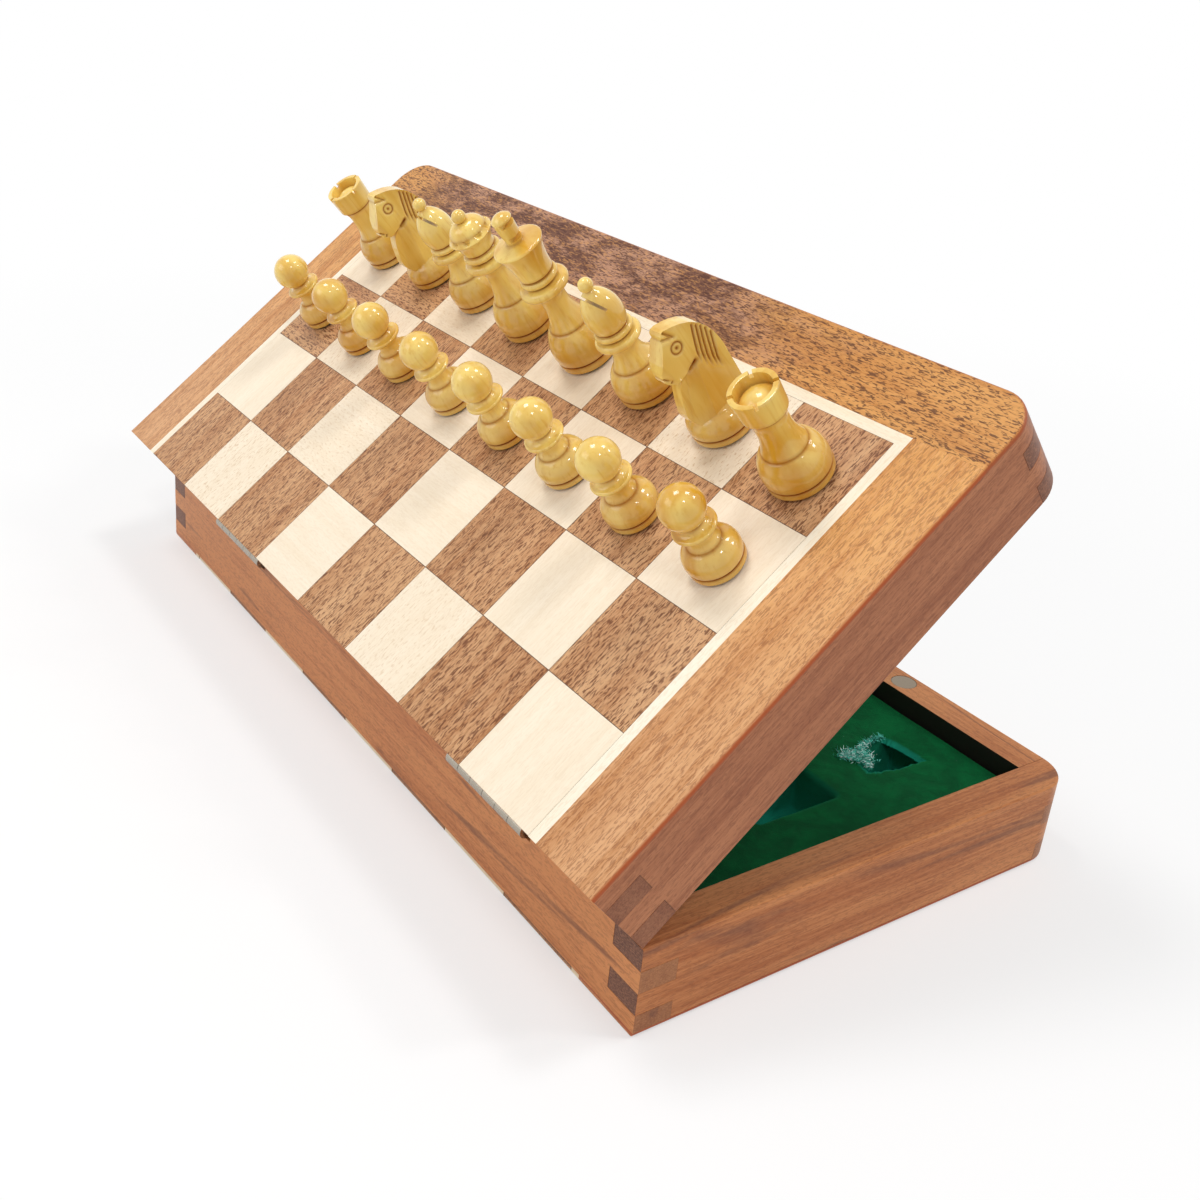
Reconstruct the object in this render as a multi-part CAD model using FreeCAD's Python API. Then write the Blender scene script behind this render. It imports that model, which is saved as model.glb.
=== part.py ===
import FreeCAD, Part
import math
import os

V = FreeCAD.Vector
X_AXIS = V(1, 0, 0)
Y_AXIS = V(0, 1, 0)
Z_AXIS = V(0, 0, 1)

# All sizes are in millimetres. X runs along the hinge, Y from the hinge to the front edge, Z up.
# The origin is the middle of the underside of the lower half.

# Board and case
square = 31.75
files = 8
ranks = 4
inlay_width = 3.3
border_width = 22.1
half_height = 25.4
wall = 11.0
fingers = 4
corner_radius = 11.0
arris = 1.0
rim_arris = 0.5
veneer = 1.2
glue_line = 0.2
steel_thickness = 0.5
core_thickness = 3.5
rebate = 5.0
panel_clearance = 0.1
parting_gap = 0.4
opening_angle = 40.0

# Closing magnets let into the front rims
catch_radius = 4.0
catch_depth = 3.0
catch_offset = 91.6
catch_inset = 5.4
catch_clearance = 0.05

# Butt hinges, let into the rims of the hinge walls
hinge_offset = 84.4
hinge_length = 38.0
knuckles = 6
knuckle_radius = 2.0
knuckle_gap = 0.15
barrel_clearance = 0.3
notch_end = 1.5
leaf_width = 9.0
leaf_thickness = 1.2
leaf_clearance = 0.1
pin_radius = 0.8
pin_clearance = 0.05
screw_pitch = 12.7
screw_line = 5.6
screw_head = 1.8
screw_shank = 0.9
screw_length = 9.0
screw_clearance = 0.05

# Velvet-covered insert with one slot for each chessman
insert_height = 14.0
insert_clearance = 0.2
slot_clearance = 0.3
slot_corner = 1.2
velvet_bevel = 1.2
column_inset = 27.8
stowage = [
    ["pawn", "pawn", "pawn"],
    ["pawn", "pawn", "rook"],
    ["king", "queen"],
    ["bishop", "bishop"],
    ["knight", "knight", "rook"],
    ["pawn", "pawn", "pawn"],
]

# Chessmen, drawn for one size of square and scaled with it: felt and a magnet in the foot, a groove above it
drawn_square = 31.75
felt = 0.5
felt_margin = 0.8
magnet_radius = 4.0
magnet_depth = 3.0
magnet_clearance = 0.05
foot_round = 0.7
groove_width = 0.8
groove_depth = 0.5
ring_lip = 0.7
seat_gap = 0.02

# How far a cutter runs past what it cuts
past = 1.0

# Radii, then the rise of each stretch from the foot upwards, then how far its curves bow
pawn = dict(
    foot=7.7, ring=5.3, neck=3.6, collar=6.0, ball=6.0, throat=3.3,
    foot_rise=1.8, bulb_rise=5.8, stem_rise=2.6, flare_rise=2.2, collar_rise=1.2, throat_rise=1.6,
    belly=1.1, waist=0.35, flare=0.5,
)
rook = dict(
    foot=9.1, ring=6.9, neck=4.7, crown=6.2, rim=6.6, well=5.1,
    foot_rise=1.9, bulb_rise=8.2, stem_rise=8.0, flare_rise=4.2, crown_rise=7.4, well_depth=4.2, dome_rise=1.0,
    belly=1.0, waist=0.5, flare=0.4, notch_width=1.1, notch_depth=1.3,
)
bishop = dict(
    foot=9.3, ring=6.9, neck=4.1, collar=6.9, bead=5.8, mitre=5.0, tip=1.3, ball=2.15,
    foot_rise=2.0, bulb_rise=7.8, stem_rise=5.6, flare_rise=2.6, collar_rise=2.4, bead_rise=1.8, mitre_rise=13.0,
    belly=1.0, waist=0.4, flare=0.5, mitre_bow=2.3, slot_width=0.8, slot_rise=7.6, slot_set=0.6, slot_lean=25.0,
)
queen = dict(
    foot=9.4, ring=6.9, neck=3.7, collar=7.4, bead=6.2, cup=5.3, rim=7.2, shoulder=6.0, tip=1.5, ball=2.2,
    foot_rise=2.2, bulb_rise=9.6, stem_rise=9.4, flare_rise=4.0, collar_rise=2.9, bead_rise=2.0, cup_rise=5.2,
    rim_rise=1.6, dome_rise=3.4,
    belly=1.1, waist=0.6, flare=0.6, cup_bow=0.5, scallops=9, scallop=1.5, scallop_depth=0.8,
)
king = dict(
    foot=9.7, ring=7.0, neck=4.0, collar=7.7, bead=5.9, cup=5.4, rim=7.7, finial=2.4, cap=2.8,
    foot_rise=2.3, bulb_rise=9.9, stem_rise=9.5, flare_rise=3.8, collar_rise=3.0, bead_rise=2.2, cup_rise=10.4,
    rim_rise=0.5, dish_rise=0.9, finial_rise=8.0, cap_rise=1.6,
    belly=1.1, waist=0.7, flare=0.7, cup_bow=0.6, cut_width=2.0, cut_depth=1.2, cut_rise=1.8, cut_pitch=5.0,
)
knight = dict(
    foot=9.3, shoulder=6.4, foot_rise=1.9, shoulder_rise=5.4, belly=1.1, sunk=3.0,
    chest=8.6, chest_rise=4.0, throat=6.0, throat_rise=13.0, jaw=0.5, jaw_rise=16.4, chin=6.8, chin_rise=15.6,
    nose=8.9, nose_rise=20.0, lip_rise=17.0, brow=4.2, brow_rise=27.4, ear=3.2, ear_rise=30.0, poll=0.5,
    poll_rise=29.0, crest=6.6, crest_rise=24.6, back=9.4, back_rise=16.4, rump=9.2, rump_rise=5.4,
    root_thickness=11.0, top_thickness=4.4, face_width=4.0, cheek=3.5,
)

# Where each light chessman stands: its kind, its square, how many squares off centre it was set down, its turn
light_men = {
    "light_rook_1": ("rook", 0, 3, -0.003, 0.035, 4),
    "light_knight_1": ("knight", 1, 3, 0.000, 0.076, 0),
    "light_bishop_1": ("bishop", 2, 3, -0.009, 0.076, 0),
    "light_queen": ("queen", 3, 3, -0.019, 0.044, 0),
    "light_king": ("king", 4, 3, -0.006, 0.044, 20),
    "light_bishop_2": ("bishop", 5, 3, -0.019, 0.013, 0),
    "light_knight_2": ("knight", 6, 3, 0.000, 0.022, 0),
    "light_rook_2": ("rook", 7, 3, 0.028, -0.069, 52),
    "light_pawn_1": ("pawn", 0, 2, -0.028, -0.013, 0),
    "light_pawn_2": ("pawn", 1, 2, -0.003, -0.028, 0),
    "light_pawn_3": ("pawn", 2, 2, -0.047, -0.031, 0),
    "light_pawn_4": ("pawn", 3, 2, -0.009, -0.041, 0),
    "light_pawn_5": ("pawn", 4, 2, -0.016, -0.035, 0),
    "light_pawn_6": ("pawn", 5, 2, -0.016, -0.041, 0),
    "light_pawn_7": ("pawn", 6, 2, -0.019, -0.047, 0),
    "light_pawn_8": ("pawn", 7, 2, 0.031, -0.028, 0),
}

# Sizes that follow from those above
man_scale = square / drawn_square
margin = inlay_width + border_width
length = files * square + 2 * margin
width = ranks * square + margin
board_half = files * square / 2
inner_half = length / 2 - wall
panel_half = inner_half + rebate - panel_clearance
panel_near = wall - rebate + panel_clearance
panel_far = width - wall + rebate - panel_clearance
panel_top = veneer + steel_thickness + core_thickness
finger = half_height / fingers
axis_y = -parting_gap / 2
axis_z = half_height + parting_gap / 2


def box(x0, x1, y0, y1, z0, z1):
    return Part.makeBox(x1 - x0, y1 - y0, z1 - z0, V(x0, y0, z0))


def rod(x0, x1, y, z, radius):
    """A cylinder along X."""
    return Part.makeCylinder(radius, x1 - x0, V(x0, y, z), X_AXIS)


def fused(shapes):
    first, *rest = shapes
    return first.multiFuse(rest) if rest else first


class Profile:
    """Half outline of a turned piece, drawn from the axis at its foot up to the axis at its top."""

    def __init__(self, height):
        self.start = V(0, 0, height)
        self.at = self.start
        self.edges = []

    def line(self, radius, rise=0.0):
        end = V(radius, 0, self.at.z + rise)
        self.edges.append(Part.LineSegment(self.at, end).toShape())
        self.at = end

    def bow(self, radius, rise, out):
        """An arc whose middle stands out from the straight line by the given amount."""
        end = V(radius, 0, self.at.z + rise)
        along = (end - self.at).normalize()
        middle = (self.at + end) * 0.5 + V(along.z, 0, -along.x) * out
        self.edges.append(Part.Arc(self.at, middle, end).toShape())
        self.at = end

    def bead(self, radius, rise):
        """A rounded ring that reaches the given radius and ends as far out as it began."""
        self.bow(self.at.x, rise, radius - self.at.x)

    def ball(self, radius, seat):
        """A ball on a seat of the given radius, ending on the axis."""
        sunk = math.sqrt(radius ** 2 - seat ** 2)
        centre = self.at.z + sunk
        self.edges.append(Part.Arc(self.at, V(radius, 0, centre), V(0, 0, centre + radius)).toShape())
        self.at = V(0, 0, centre + radius)

    def dome(self, rise):
        """A cap of a sphere, ending on the axis."""
        radius = (self.at.x ** 2 + rise ** 2) / (2 * rise)
        end = V(0, 0, self.at.z + rise)
        half_turn = math.asin(self.at.x / radius) / 2
        middle = end + V(radius * math.sin(half_turn), 0, radius * (math.cos(half_turn) - 1))
        self.edges.append(Part.Arc(self.at, middle, end).toShape())
        self.at = end

    def turned(self):
        axis = Part.LineSegment(self.at, self.start).toShape()
        face = Part.Face(Part.Wire(self.edges + [axis]))
        return face.revolve(V(0, 0, 0), Z_AXIS, 360)


def quarter_bow(radius):
    """How far the middle of a quarter round stands out from its chord."""
    return radius * (1 - math.sqrt(0.5))


def foot(k, above):
    """The foot that every chessman has, up to the widest ring above its groove."""
    p = Profile(felt)
    p.line(k["foot"] - foot_round)
    p.bow(k["foot"], foot_round, quarter_bow(foot_round))
    p.line(k["foot"], k["foot_rise"] - foot_round)
    p.line(k["foot"] - groove_depth, groove_width / 2)
    p.line(above, groove_width / 2)
    return p


def stem(k):
    """Foot, bulb, ring and waist of a turned chessman, up to its narrowest place."""
    p = foot(k, k["foot"])
    p.bow(k["ring"], k["bulb_rise"], k["belly"])
    p.line(k["ring"] - ring_lip, ring_lip)
    p.bow(k["neck"], k["stem_rise"], -k["waist"])
    return p


def collars(p, k):
    """A flare, a broad collar and a narrower bead on it, with a groove after each."""
    collar_land = k["collar"] - k["collar_rise"] / 2
    bead_land = k["bead"] - k["bead_rise"] / 2
    p.bow(collar_land, k["flare_rise"], -k["flare"])
    p.bead(k["collar"], k["collar_rise"])
    p.line(bead_land - groove_depth, groove_width / 2)
    p.line(bead_land, groove_width / 2)
    p.bead(k["bead"], k["bead_rise"])


def make_pawn(k):
    p = stem(k)
    edge = k["collar"] - k["collar_rise"] / 2
    p.bow(edge, k["flare_rise"], -k["flare"])
    p.bead(k["collar"], k["collar_rise"])
    p.bow(k["throat"], k["throat_rise"], -k["flare"])
    p.ball(k["ball"], k["throat"])
    return p.turned()


def make_rook(k):
    p = stem(k)
    p.bow(k["crown"] - groove_depth, k["flare_rise"], -k["flare"])
    p.line(k["crown"], groove_width / 2)
    p.line(k["rim"], k["crown_rise"])
    top = p.at.z
    p.line(k["well"])
    p.line(k["well"], -k["well_depth"])
    p.dome(k["dome_rise"])
    side = k["notch_width"] / 2
    reach = k["rim"] + past
    cut = box(-side, side, -reach, reach, top - k["notch_depth"], top + past)
    crossed = cut.copy()
    crossed.rotate(V(0, 0, 0), Z_AXIS, 90)
    return p.turned().cut(fused([cut, crossed]))


def make_bishop(k):
    p = stem(k)
    collars(p, k)
    p.line(k["mitre"] - groove_depth, groove_width / 2)
    p.line(k["mitre"], groove_width / 2)
    seat = p.at.z
    p.bow(k["tip"], k["mitre_rise"], k["mitre_bow"])
    p.ball(k["ball"], k["tip"])
    reach = 2 * k["mitre"]
    kerf = box(-reach, reach, -k["slot_width"] / 2, k["slot_width"] / 2, 0, reach)
    kerf.rotate(V(0, 0, 0), X_AXIS, k["slot_lean"])
    kerf.translate(V(0, -k["slot_set"], seat + k["slot_rise"]))
    return p.turned().cut(kerf)


def make_queen(k):
    p = stem(k)
    collars(p, k)
    p.line(k["cup"] - groove_depth, groove_width / 2)
    p.line(k["cup"], groove_width / 2)
    p.bow(k["rim"], k["cup_rise"], -k["cup_bow"])
    rim_z = p.at.z
    p.line(k["shoulder"], k["rim_rise"])
    p.bow(k["tip"], k["dome_rise"], quarter_bow(k["dome_rise"]))
    p.ball(k["ball"], k["tip"])
    body = p.turned()
    flutes = []
    for i in range(k["scallops"]):
        turn = 2 * math.pi * i / k["scallops"]
        away = k["rim"] + k["scallop"] - k["scallop_depth"]
        spot = V(away * math.cos(turn), away * math.sin(turn), rim_z - k["scallop"])
        flutes.append(Part.makeCylinder(k["scallop"], k["rim_rise"] + 2 * k["scallop"], spot, Z_AXIS))
    return body.cut(fused(flutes))


def make_king(k):
    p = stem(k)
    collars(p, k)
    p.line(k["cup"] - groove_depth, groove_width / 2)
    p.line(k["cup"], groove_width / 2)
    p.bow(k["rim"], k["cup_rise"], -k["cup_bow"])
    p.line(k["rim"] - k["rim_rise"], k["rim_rise"])
    p.line(k["finial"], k["dish_rise"])
    seat = p.at.z
    p.line(k["cap"], k["finial_rise"])
    p.dome(k["cap_rise"])
    body = p.turned()
    cuts = []
    for level in (0, 1):
        low = seat + k["cut_rise"] + level * k["cut_pitch"] - k["cut_width"] / 2
        for side in (-1, 1):
            deep = side * (k["finial"] - k["cut_depth"])
            far = side * 2 * k["cap"]
            cuts.append(box(min(deep, far), max(deep, far), -k["cap"], k["cap"], low, low + k["cut_width"]))
    return body.cut(fused(cuts))


def make_knight(k):
    """A turned foot with a flat-sided horse's head, looking towards -Y."""
    p = foot(k, k["foot"])
    p.bow(k["shoulder"], k["shoulder_rise"], k["belly"])
    root = p.at.z
    p.line(0)
    base = p.turned()

    def at(reach, rise):
        return V(0, reach, root + rise)

    corners = [
        at(past - k["shoulder"], -k["sunk"]), at(-k["chest"], k["chest_rise"]), at(-k["throat"], k["throat_rise"]),
        at(k["jaw"], k["jaw_rise"]), at(-k["chin"], k["chin_rise"]), at(-k["nose"], k["lip_rise"]),
        at(-k["nose"], k["nose_rise"]), at(-k["brow"], k["brow_rise"]), at(-k["ear"], k["ear_rise"]),
        at(k["poll"], k["poll_rise"]),
    ]
    outline = [Part.LineSegment(a, b).toShape() for a, b in zip(corners, corners[1:])]
    crest_end = at(k["back"], k["back_rise"])
    outline.append(Part.Arc(corners[-1], at(k["crest"], k["crest_rise"]), crest_end).toShape())
    rump = [crest_end, at(k["rump"], k["rump_rise"]), at(k["shoulder"] - past, -k["sunk"]), corners[0]]
    outline += [Part.LineSegment(a, b).toShape() for a, b in zip(rump, rump[1:])]
    deep = k["root_thickness"] / 2
    head = Part.Face(Part.Wire(outline)).extrude(V(2 * deep, 0, 0))
    head.translate(V(-deep, 0, 0))

    thin = k["top_thickness"] / 2
    low = root - k["sunk"]
    high = root + k["ear_rise"] + past
    reach = k["foot"] + k["back"]
    taper = Part.makePolygon([V(-deep, -reach, low), V(deep, -reach, low), V(thin, -reach, high),
                              V(-thin, -reach, high), V(-deep, -reach, low)])
    head = head.common(Part.Face(taper).extrude(V(0, 2 * reach, 0)))
    face = k["face_width"] / 2
    front = -max(k["nose"], k["chest"])
    plan = Part.makePolygon([V(-face, front, 0), V(face, front, 0), V(deep, -k["cheek"], 0), V(deep, reach, 0),
                             V(-deep, reach, 0), V(-deep, -k["cheek"], 0), V(-face, front, 0)])
    return base.fuse(head.common(Part.Face(plan).extrude(V(0, 0, 2 * high))))


makers = {
    "pawn": (make_pawn, pawn),
    "rook": (make_rook, rook),
    "bishop": (make_bishop, bishop),
    "queen": (make_queen, queen),
    "king": (make_king, king),
    "knight": (make_knight, knight),
}


# A count and an angle stay as they are when the men are scaled
unscaled = ("scallops", "slot_lean")


def chessman(kind):
    """The wooden body, the magnet in its foot and the felt under it, standing on the origin."""
    make, drawn = makers[kind]
    sizes = {name: size if name in unscaled else size * man_scale for name, size in drawn.items()}
    bore = Part.makeCylinder(magnet_radius + magnet_clearance, magnet_depth, V(0, 0, felt))
    magnet = Part.makeCylinder(magnet_radius, magnet_depth, V(0, 0, felt))
    pad = Part.makeCylinder(sizes["foot"] - felt_margin, felt)
    return Part.makeCompound([make(sizes).removeSplitter().cut(bore).Solids[0], magnet, pad])


men = {kind: chessman(kind) for kind in makers}
extents = {kind: man.optimalBoundingBox(False) for kind, man in men.items()}


def reach_of(kind):
    """How far a chessman reaches from its axis, to either side."""
    b = extents[kind]
    return max(b.XMax, b.YMax, -b.XMin, -b.YMin)


def slots():
    """The kind, middle line, near end and far end of each slot in the insert."""
    first = -inner_half + column_inset
    pitch = (2 * inner_half - 2 * column_inset) / (len(stowage) - 1)
    room = width - 2 * wall
    for i, column in enumerate(stowage):
        long = [extents[kind].ZMax + 2 * slot_clearance for kind in column]
        space = (room - sum(long)) / (len(column) + 1)
        near = wall + space
        for kind, slot_length in zip(column, long):
            yield kind, first + i * pitch, near, near + slot_length
            near += slot_length + space


def envelope():
    """Outer form of one half: sharp along the hinge, rounded at the front corners and along the edges."""
    body = box(-length / 2, length / 2, 0, width, 0, half_height)
    posts = [e for e in body.Edges if e.BoundBox.ZLength > half_height / 2 and e.BoundBox.YMin > width / 2]
    body = body.makeFillet(corner_radius, posts)
    board_edges = [e for e in body.Edges if e.BoundBox.ZMax < finger / 2 and e.BoundBox.YMax > finger]
    body = body.makeFillet(min(arris, 0.9 * veneer), board_edges)
    rim_edges = [e for e in body.Edges if e.BoundBox.ZMin > half_height - finger / 2 and e.BoundBox.YMax > finger]
    return body.makeFillet(rim_arris, rim_edges)


def finger_cuts(taken, y0, y1, x0, x1):
    """Blocks that clear the other wall's fingers from a corner."""
    return [box(x0, x1, y0, y1, i * finger, (i + 1) * finger) for i in range(fingers) if i % 2 == taken]


def hinge_leaf(middle):
    """One leaf with its own knuckles; the mating leaf's knuckles turn in its gaps."""
    step = hinge_length / knuckles
    start = middle - hinge_length / 2
    plate = box(start, start + hinge_length, axis_y, leaf_width, half_height - leaf_thickness, half_height)
    own, gaps = [], []
    for i in range(knuckles):
        x0 = start + i * step
        if i % 2 == 0:
            own.append(rod(x0 + knuckle_gap / 2, x0 + step - knuckle_gap / 2, axis_y, axis_z, knuckle_radius))
        else:
            gaps.append(rod(x0 - knuckle_gap / 2, x0 + step + knuckle_gap / 2, axis_y, axis_z,
                            knuckle_radius + barrel_clearance))
    bore = rod(start - past, start + hinge_length + past, axis_y, axis_z, pin_radius + pin_clearance)
    holes = [screw(x, screw_clearance) for x in screw_places(middle)]
    return plate.cut(fused(gaps)).fuse(fused(own)).cut(fused([bore] + holes)).removeSplitter()


def screw_places(middle):
    return [middle + i * screw_pitch for i in (-1, 0, 1)]


def screw(x, clearance=0.0):
    """A countersunk screw, or with a clearance the hole that it goes into."""
    top = half_height - leaf_thickness
    head = Part.makeCone(screw_shank + clearance, screw_head + clearance, leaf_thickness, V(x, screw_line, top))
    shank = Part.makeCylinder(screw_shank + clearance, screw_length + clearance, V(x, screw_line, top), V(0, 0, -1))
    return head.fuse(shank).removeSplitter()


def foam_insert():
    """The padded insert: a slot right through it for each chessman, every upper edge eased."""
    top = panel_top + insert_height
    body = box(-inner_half + insert_clearance, inner_half - insert_clearance, wall + insert_clearance,
               width - wall - insert_clearance, panel_top, top)
    wells = []
    for kind, x, near, far in slots():
        side = reach_of(kind) + slot_clearance
        well = box(x - side, x + side, near, far, panel_top, top)
        wells.append(well.makeFillet(slot_corner, [e for e in well.Edges if e.BoundBox.ZLength > insert_height / 2]))
    body = body.cut(fused(wells))
    return body.makeChamfer(velvet_bevel, [e for e in body.Edges if e.BoundBox.ZMin > top - slot_clearance])


def half(long_first):
    """The pieces of one half of the case, board face down, hinge wall's outer face on y = 0.

    long_first is 0 where the long walls have the finger next to the board, and 1 where the end walls have it.
    """
    outer = envelope()
    recess = box(-panel_half - panel_clearance, panel_half + panel_clearance, panel_near - panel_clearance,
                 panel_far + panel_clearance, veneer, panel_top)
    hinges = (-hinge_offset, hinge_offset)
    catches = [V(side * catch_offset, width - catch_inset, half_height - catch_depth) for side in (-1, 1)]

    def long_wall(y0, y1, extra):
        body = box(-length / 2, length / 2, y0, y1, veneer, half_height)
        cuts = finger_cuts(1 - long_first, y0, y1, -length / 2, -inner_half)
        cuts += finger_cuts(1 - long_first, y0, y1, inner_half, length / 2)
        return body.common(outer).cut(fused(cuts + [recess] + extra))

    def end_wall(x0, x1):
        body = box(x0, x1, 0, width, veneer, half_height)
        cuts = finger_cuts(long_first, 0, wall, x0, x1) + finger_cuts(long_first, width - wall, width, x0, x1)
        return body.common(outer).cut(fused(cuts + [recess]))

    hinge_cuts = []
    for middle in hinges:
        x0, x1 = middle - hinge_length / 2, middle + hinge_length / 2
        hinge_cuts.append(rod(x0 - notch_end, x1 + notch_end, axis_y, axis_z, knuckle_radius + barrel_clearance))
        hinge_cuts.append(box(x0 - leaf_clearance, x1 + leaf_clearance, 0, leaf_width + leaf_clearance,
                              half_height - leaf_thickness, half_height))
        hinge_cuts += [screw(x, screw_clearance) for x in screw_places(middle)]
    sockets = [Part.makeCylinder(catch_radius + catch_clearance, catch_depth, spot) for spot in catches]

    dark, light = [], []
    for i in range(files):
        for j in range(ranks):
            x0, y0 = i * square - board_half, j * square
            tile = box(x0 + glue_line / 2, x0 + square - glue_line / 2, y0 + glue_line / 2, y0 + square - glue_line / 2,
                       0, veneer)
            (dark if (i + j) % 2 else light).append(tile)

    inlay_half = board_half + inlay_width
    inlays = [box(-inlay_half, inlay_half, ranks * square, ranks * square + inlay_width, 0, veneer)]
    borders = [box(-length / 2, length / 2, width - border_width, width, 0, veneer).common(outer)]
    for side in (-1, 1):
        edges = sorted((side * board_half, side * inlay_half))
        inlays.append(box(*edges, 0, ranks * square, 0, veneer))
        edges = sorted((side * inlay_half, side * length / 2))
        borders.append(box(*edges, 0, width - border_width, 0, veneer).common(outer))

    return {
        "hinge_wall": [long_wall(0, wall, hinge_cuts)],
        "front_wall": [long_wall(width - wall, width, sockets)],
        "left_end_wall": [end_wall(-length / 2, -inner_half)],
        "right_end_wall": [end_wall(inner_half, length / 2)],
        "core_panel": [box(-panel_half, panel_half, panel_near, panel_far, veneer + steel_thickness, panel_top)],
        "steel_sheet": [box(-panel_half, panel_half, panel_near, panel_far, veneer, veneer + steel_thickness)],
        "dark_squares": dark,
        "light_squares": light,
        "inlay_strips": inlays,
        "border_strips": borders,
        "foam_insert": [foam_insert()],
        "closure_magnets": [Part.makeCylinder(catch_radius, catch_depth, spot) for spot in catches],
        "left_hinge_leaf": [hinge_leaf(-hinge_offset)],
        "right_hinge_leaf": [hinge_leaf(hinge_offset)],
        "hinge_screws": [screw(x) for middle in hinges for x in screw_places(middle)],
    }


def stowed_men():
    """Every chessman of one side, lying in its slot with its foot towards the hinge."""
    lying = {}
    for kind, x, near, far in slots():
        man = men[kind].copy()
        man.rotate(V(0, 0, 0), Z_AXIS, 90)
        man.rotate(V(0, 0, 0), X_AXIS, -90)
        man.translate(V(x, near + slot_clearance, panel_top + seat_gap + extents[kind].XMax))
        lying.setdefault(kind, []).extend(man.Solids)
    return lying


def base_place():
    return FreeCAD.Placement(V(0, -width / 2, 0), FreeCAD.Rotation())


def hinge_swing():
    """The lid's turn about the hinge axis, from closed to as far open as it stands."""
    pivot = V(0, axis_y - width / 2, axis_z)
    return FreeCAD.Placement(V(0, 0, 0), FreeCAD.Rotation(X_AXIS, opening_angle), pivot)


def lid_place():
    """Turns a half over onto the lower half, then swings it open."""
    over = FreeCAD.Placement(V(0, -width / 2, 2 * axis_z), FreeCAD.Rotation(Y_AXIS, 180))
    return hinge_swing().multiply(over)


def placed(shapes, placement):
    result = []
    for shape in shapes:
        moved = shape.copy()
        moved.Placement = placement.multiply(moved.Placement)
        result.append(moved)
    return result


# The lid is turned over, so its left and right change sides
turned_over = {"left_end_wall": "right_end_wall", "right_end_wall": "left_end_wall",
               "left_hinge_leaf": "right_hinge_leaf", "right_hinge_leaf": "left_hinge_leaf"}
plural = {"pawn": "dark_pawns", "rook": "dark_rooks", "knight": "dark_knights", "bishop": "dark_bishops",
          "queen": "dark_queen", "king": "dark_king"}

nodes = {}
for name, solids in half(0).items():
    nodes["base_" + name] = placed(solids, base_place())
for name, solids in half(1).items():
    nodes["lid_" + turned_over.get(name, name)] = placed(solids, lid_place())
for kind, solids in stowed_men().items():
    nodes[plural[kind]] = placed(solids, lid_place())
for side, name in ((-1, "left_hinge_pin"), (1, "right_hinge_pin")):
    middle = side * hinge_offset
    pin = rod(middle - hinge_length / 2, middle + hinge_length / 2, axis_y, axis_z, pin_radius)
    nodes[name] = placed([pin], base_place())
for name, (kind, i, j, off_x, off_y, turn) in light_men.items():
    x = (i + 0.5 + off_x) * square - board_half
    y = (j + 0.5 + off_y) * square - width / 2
    spot = FreeCAD.Placement(V(x, y, 2 * axis_z + seat_gap), FreeCAD.Rotation(Z_AXIS, turn))
    nodes[name] = placed(men[kind].Solids, hinge_swing().multiply(spot))

os.makedirs("parts", exist_ok=True)
for name, solids in nodes.items():
    shape = Part.makeCompound(solids) if len(solids) > 1 else solids[0]
    shape.exportStep(f"parts/{name}.step")
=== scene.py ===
import math
import random
from types import SimpleNamespace as Sizes

import bmesh
import bpy
from mathutils import Matrix, Vector, noise
from mathutils.geometry import delaunay_2d_cdt, intersect_line_line_2d


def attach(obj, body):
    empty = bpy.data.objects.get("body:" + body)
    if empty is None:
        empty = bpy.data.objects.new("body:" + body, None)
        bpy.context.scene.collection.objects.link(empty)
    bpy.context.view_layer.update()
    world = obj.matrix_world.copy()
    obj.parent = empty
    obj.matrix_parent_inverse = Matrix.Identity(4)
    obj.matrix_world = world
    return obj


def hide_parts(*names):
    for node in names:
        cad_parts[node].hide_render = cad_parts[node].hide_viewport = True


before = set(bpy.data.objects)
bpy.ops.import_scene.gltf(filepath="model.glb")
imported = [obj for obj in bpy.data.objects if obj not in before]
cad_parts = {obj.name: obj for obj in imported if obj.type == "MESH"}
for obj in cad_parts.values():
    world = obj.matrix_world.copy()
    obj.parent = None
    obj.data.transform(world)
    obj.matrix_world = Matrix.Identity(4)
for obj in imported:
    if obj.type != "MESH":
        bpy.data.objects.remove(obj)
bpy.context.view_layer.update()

MM = 0.001

# The case, in millimetres. A half has its board face on z = 0 and its hinge wall's outer face on y = 0.
SQUARE = 31.75
FILES = 8
RANKS = 4
INLAY = 3.3
BORDER = 22.1
HALVES = ("base", "lid")
WALL = 11.0
CORNER = 11.0
VENEER = 1.2
GLUE_LINE = 0.2
GLUE_SUNK = 0.06
PANEL_TOP = 5.2
INSERT_TOP = 19.2
INSERT_GAP = 0.2
AXIS_Y = -0.2
AXIS_Z = 25.6
OPENING = 40.0
BOARD_HALF = FILES * SQUARE / 2
LENGTH = 2 * (BOARD_HALF + INLAY + BORDER)
WIDTH = RANKS * SQUARE + INLAY + BORDER
INNER_HALF = LENGTH / 2 - WALL


def shift(x, y, z):
    return Matrix.Translation(Vector((x, y, z)) * MM)


def turned(degrees, axis):
    return Matrix.Rotation(math.radians(degrees), 4, axis)


PIVOT = (0, AXIS_Y - WIDTH / 2, AXIS_Z)
SWING = shift(*PIVOT) @ turned(OPENING, "X") @ shift(*(-c for c in PIVOT))
BASE = shift(0, -WIDTH / 2, 0)
BOARD = SWING @ shift(0, -WIDTH / 2, 2 * AXIS_Z)
LID = BOARD @ turned(180, "Y")
PLACES = {"base": BASE, "lid": LID}


# Materials. Colours are display values, 0 to 255.

def linear(r, g, b):
    """A display colour as the linear light that a shader takes."""
    return tuple(((c / 255 + 0.055) / 1.055) ** 2.4 if c > 10 else c / 3294.6 for c in (r, g, b))


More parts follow.
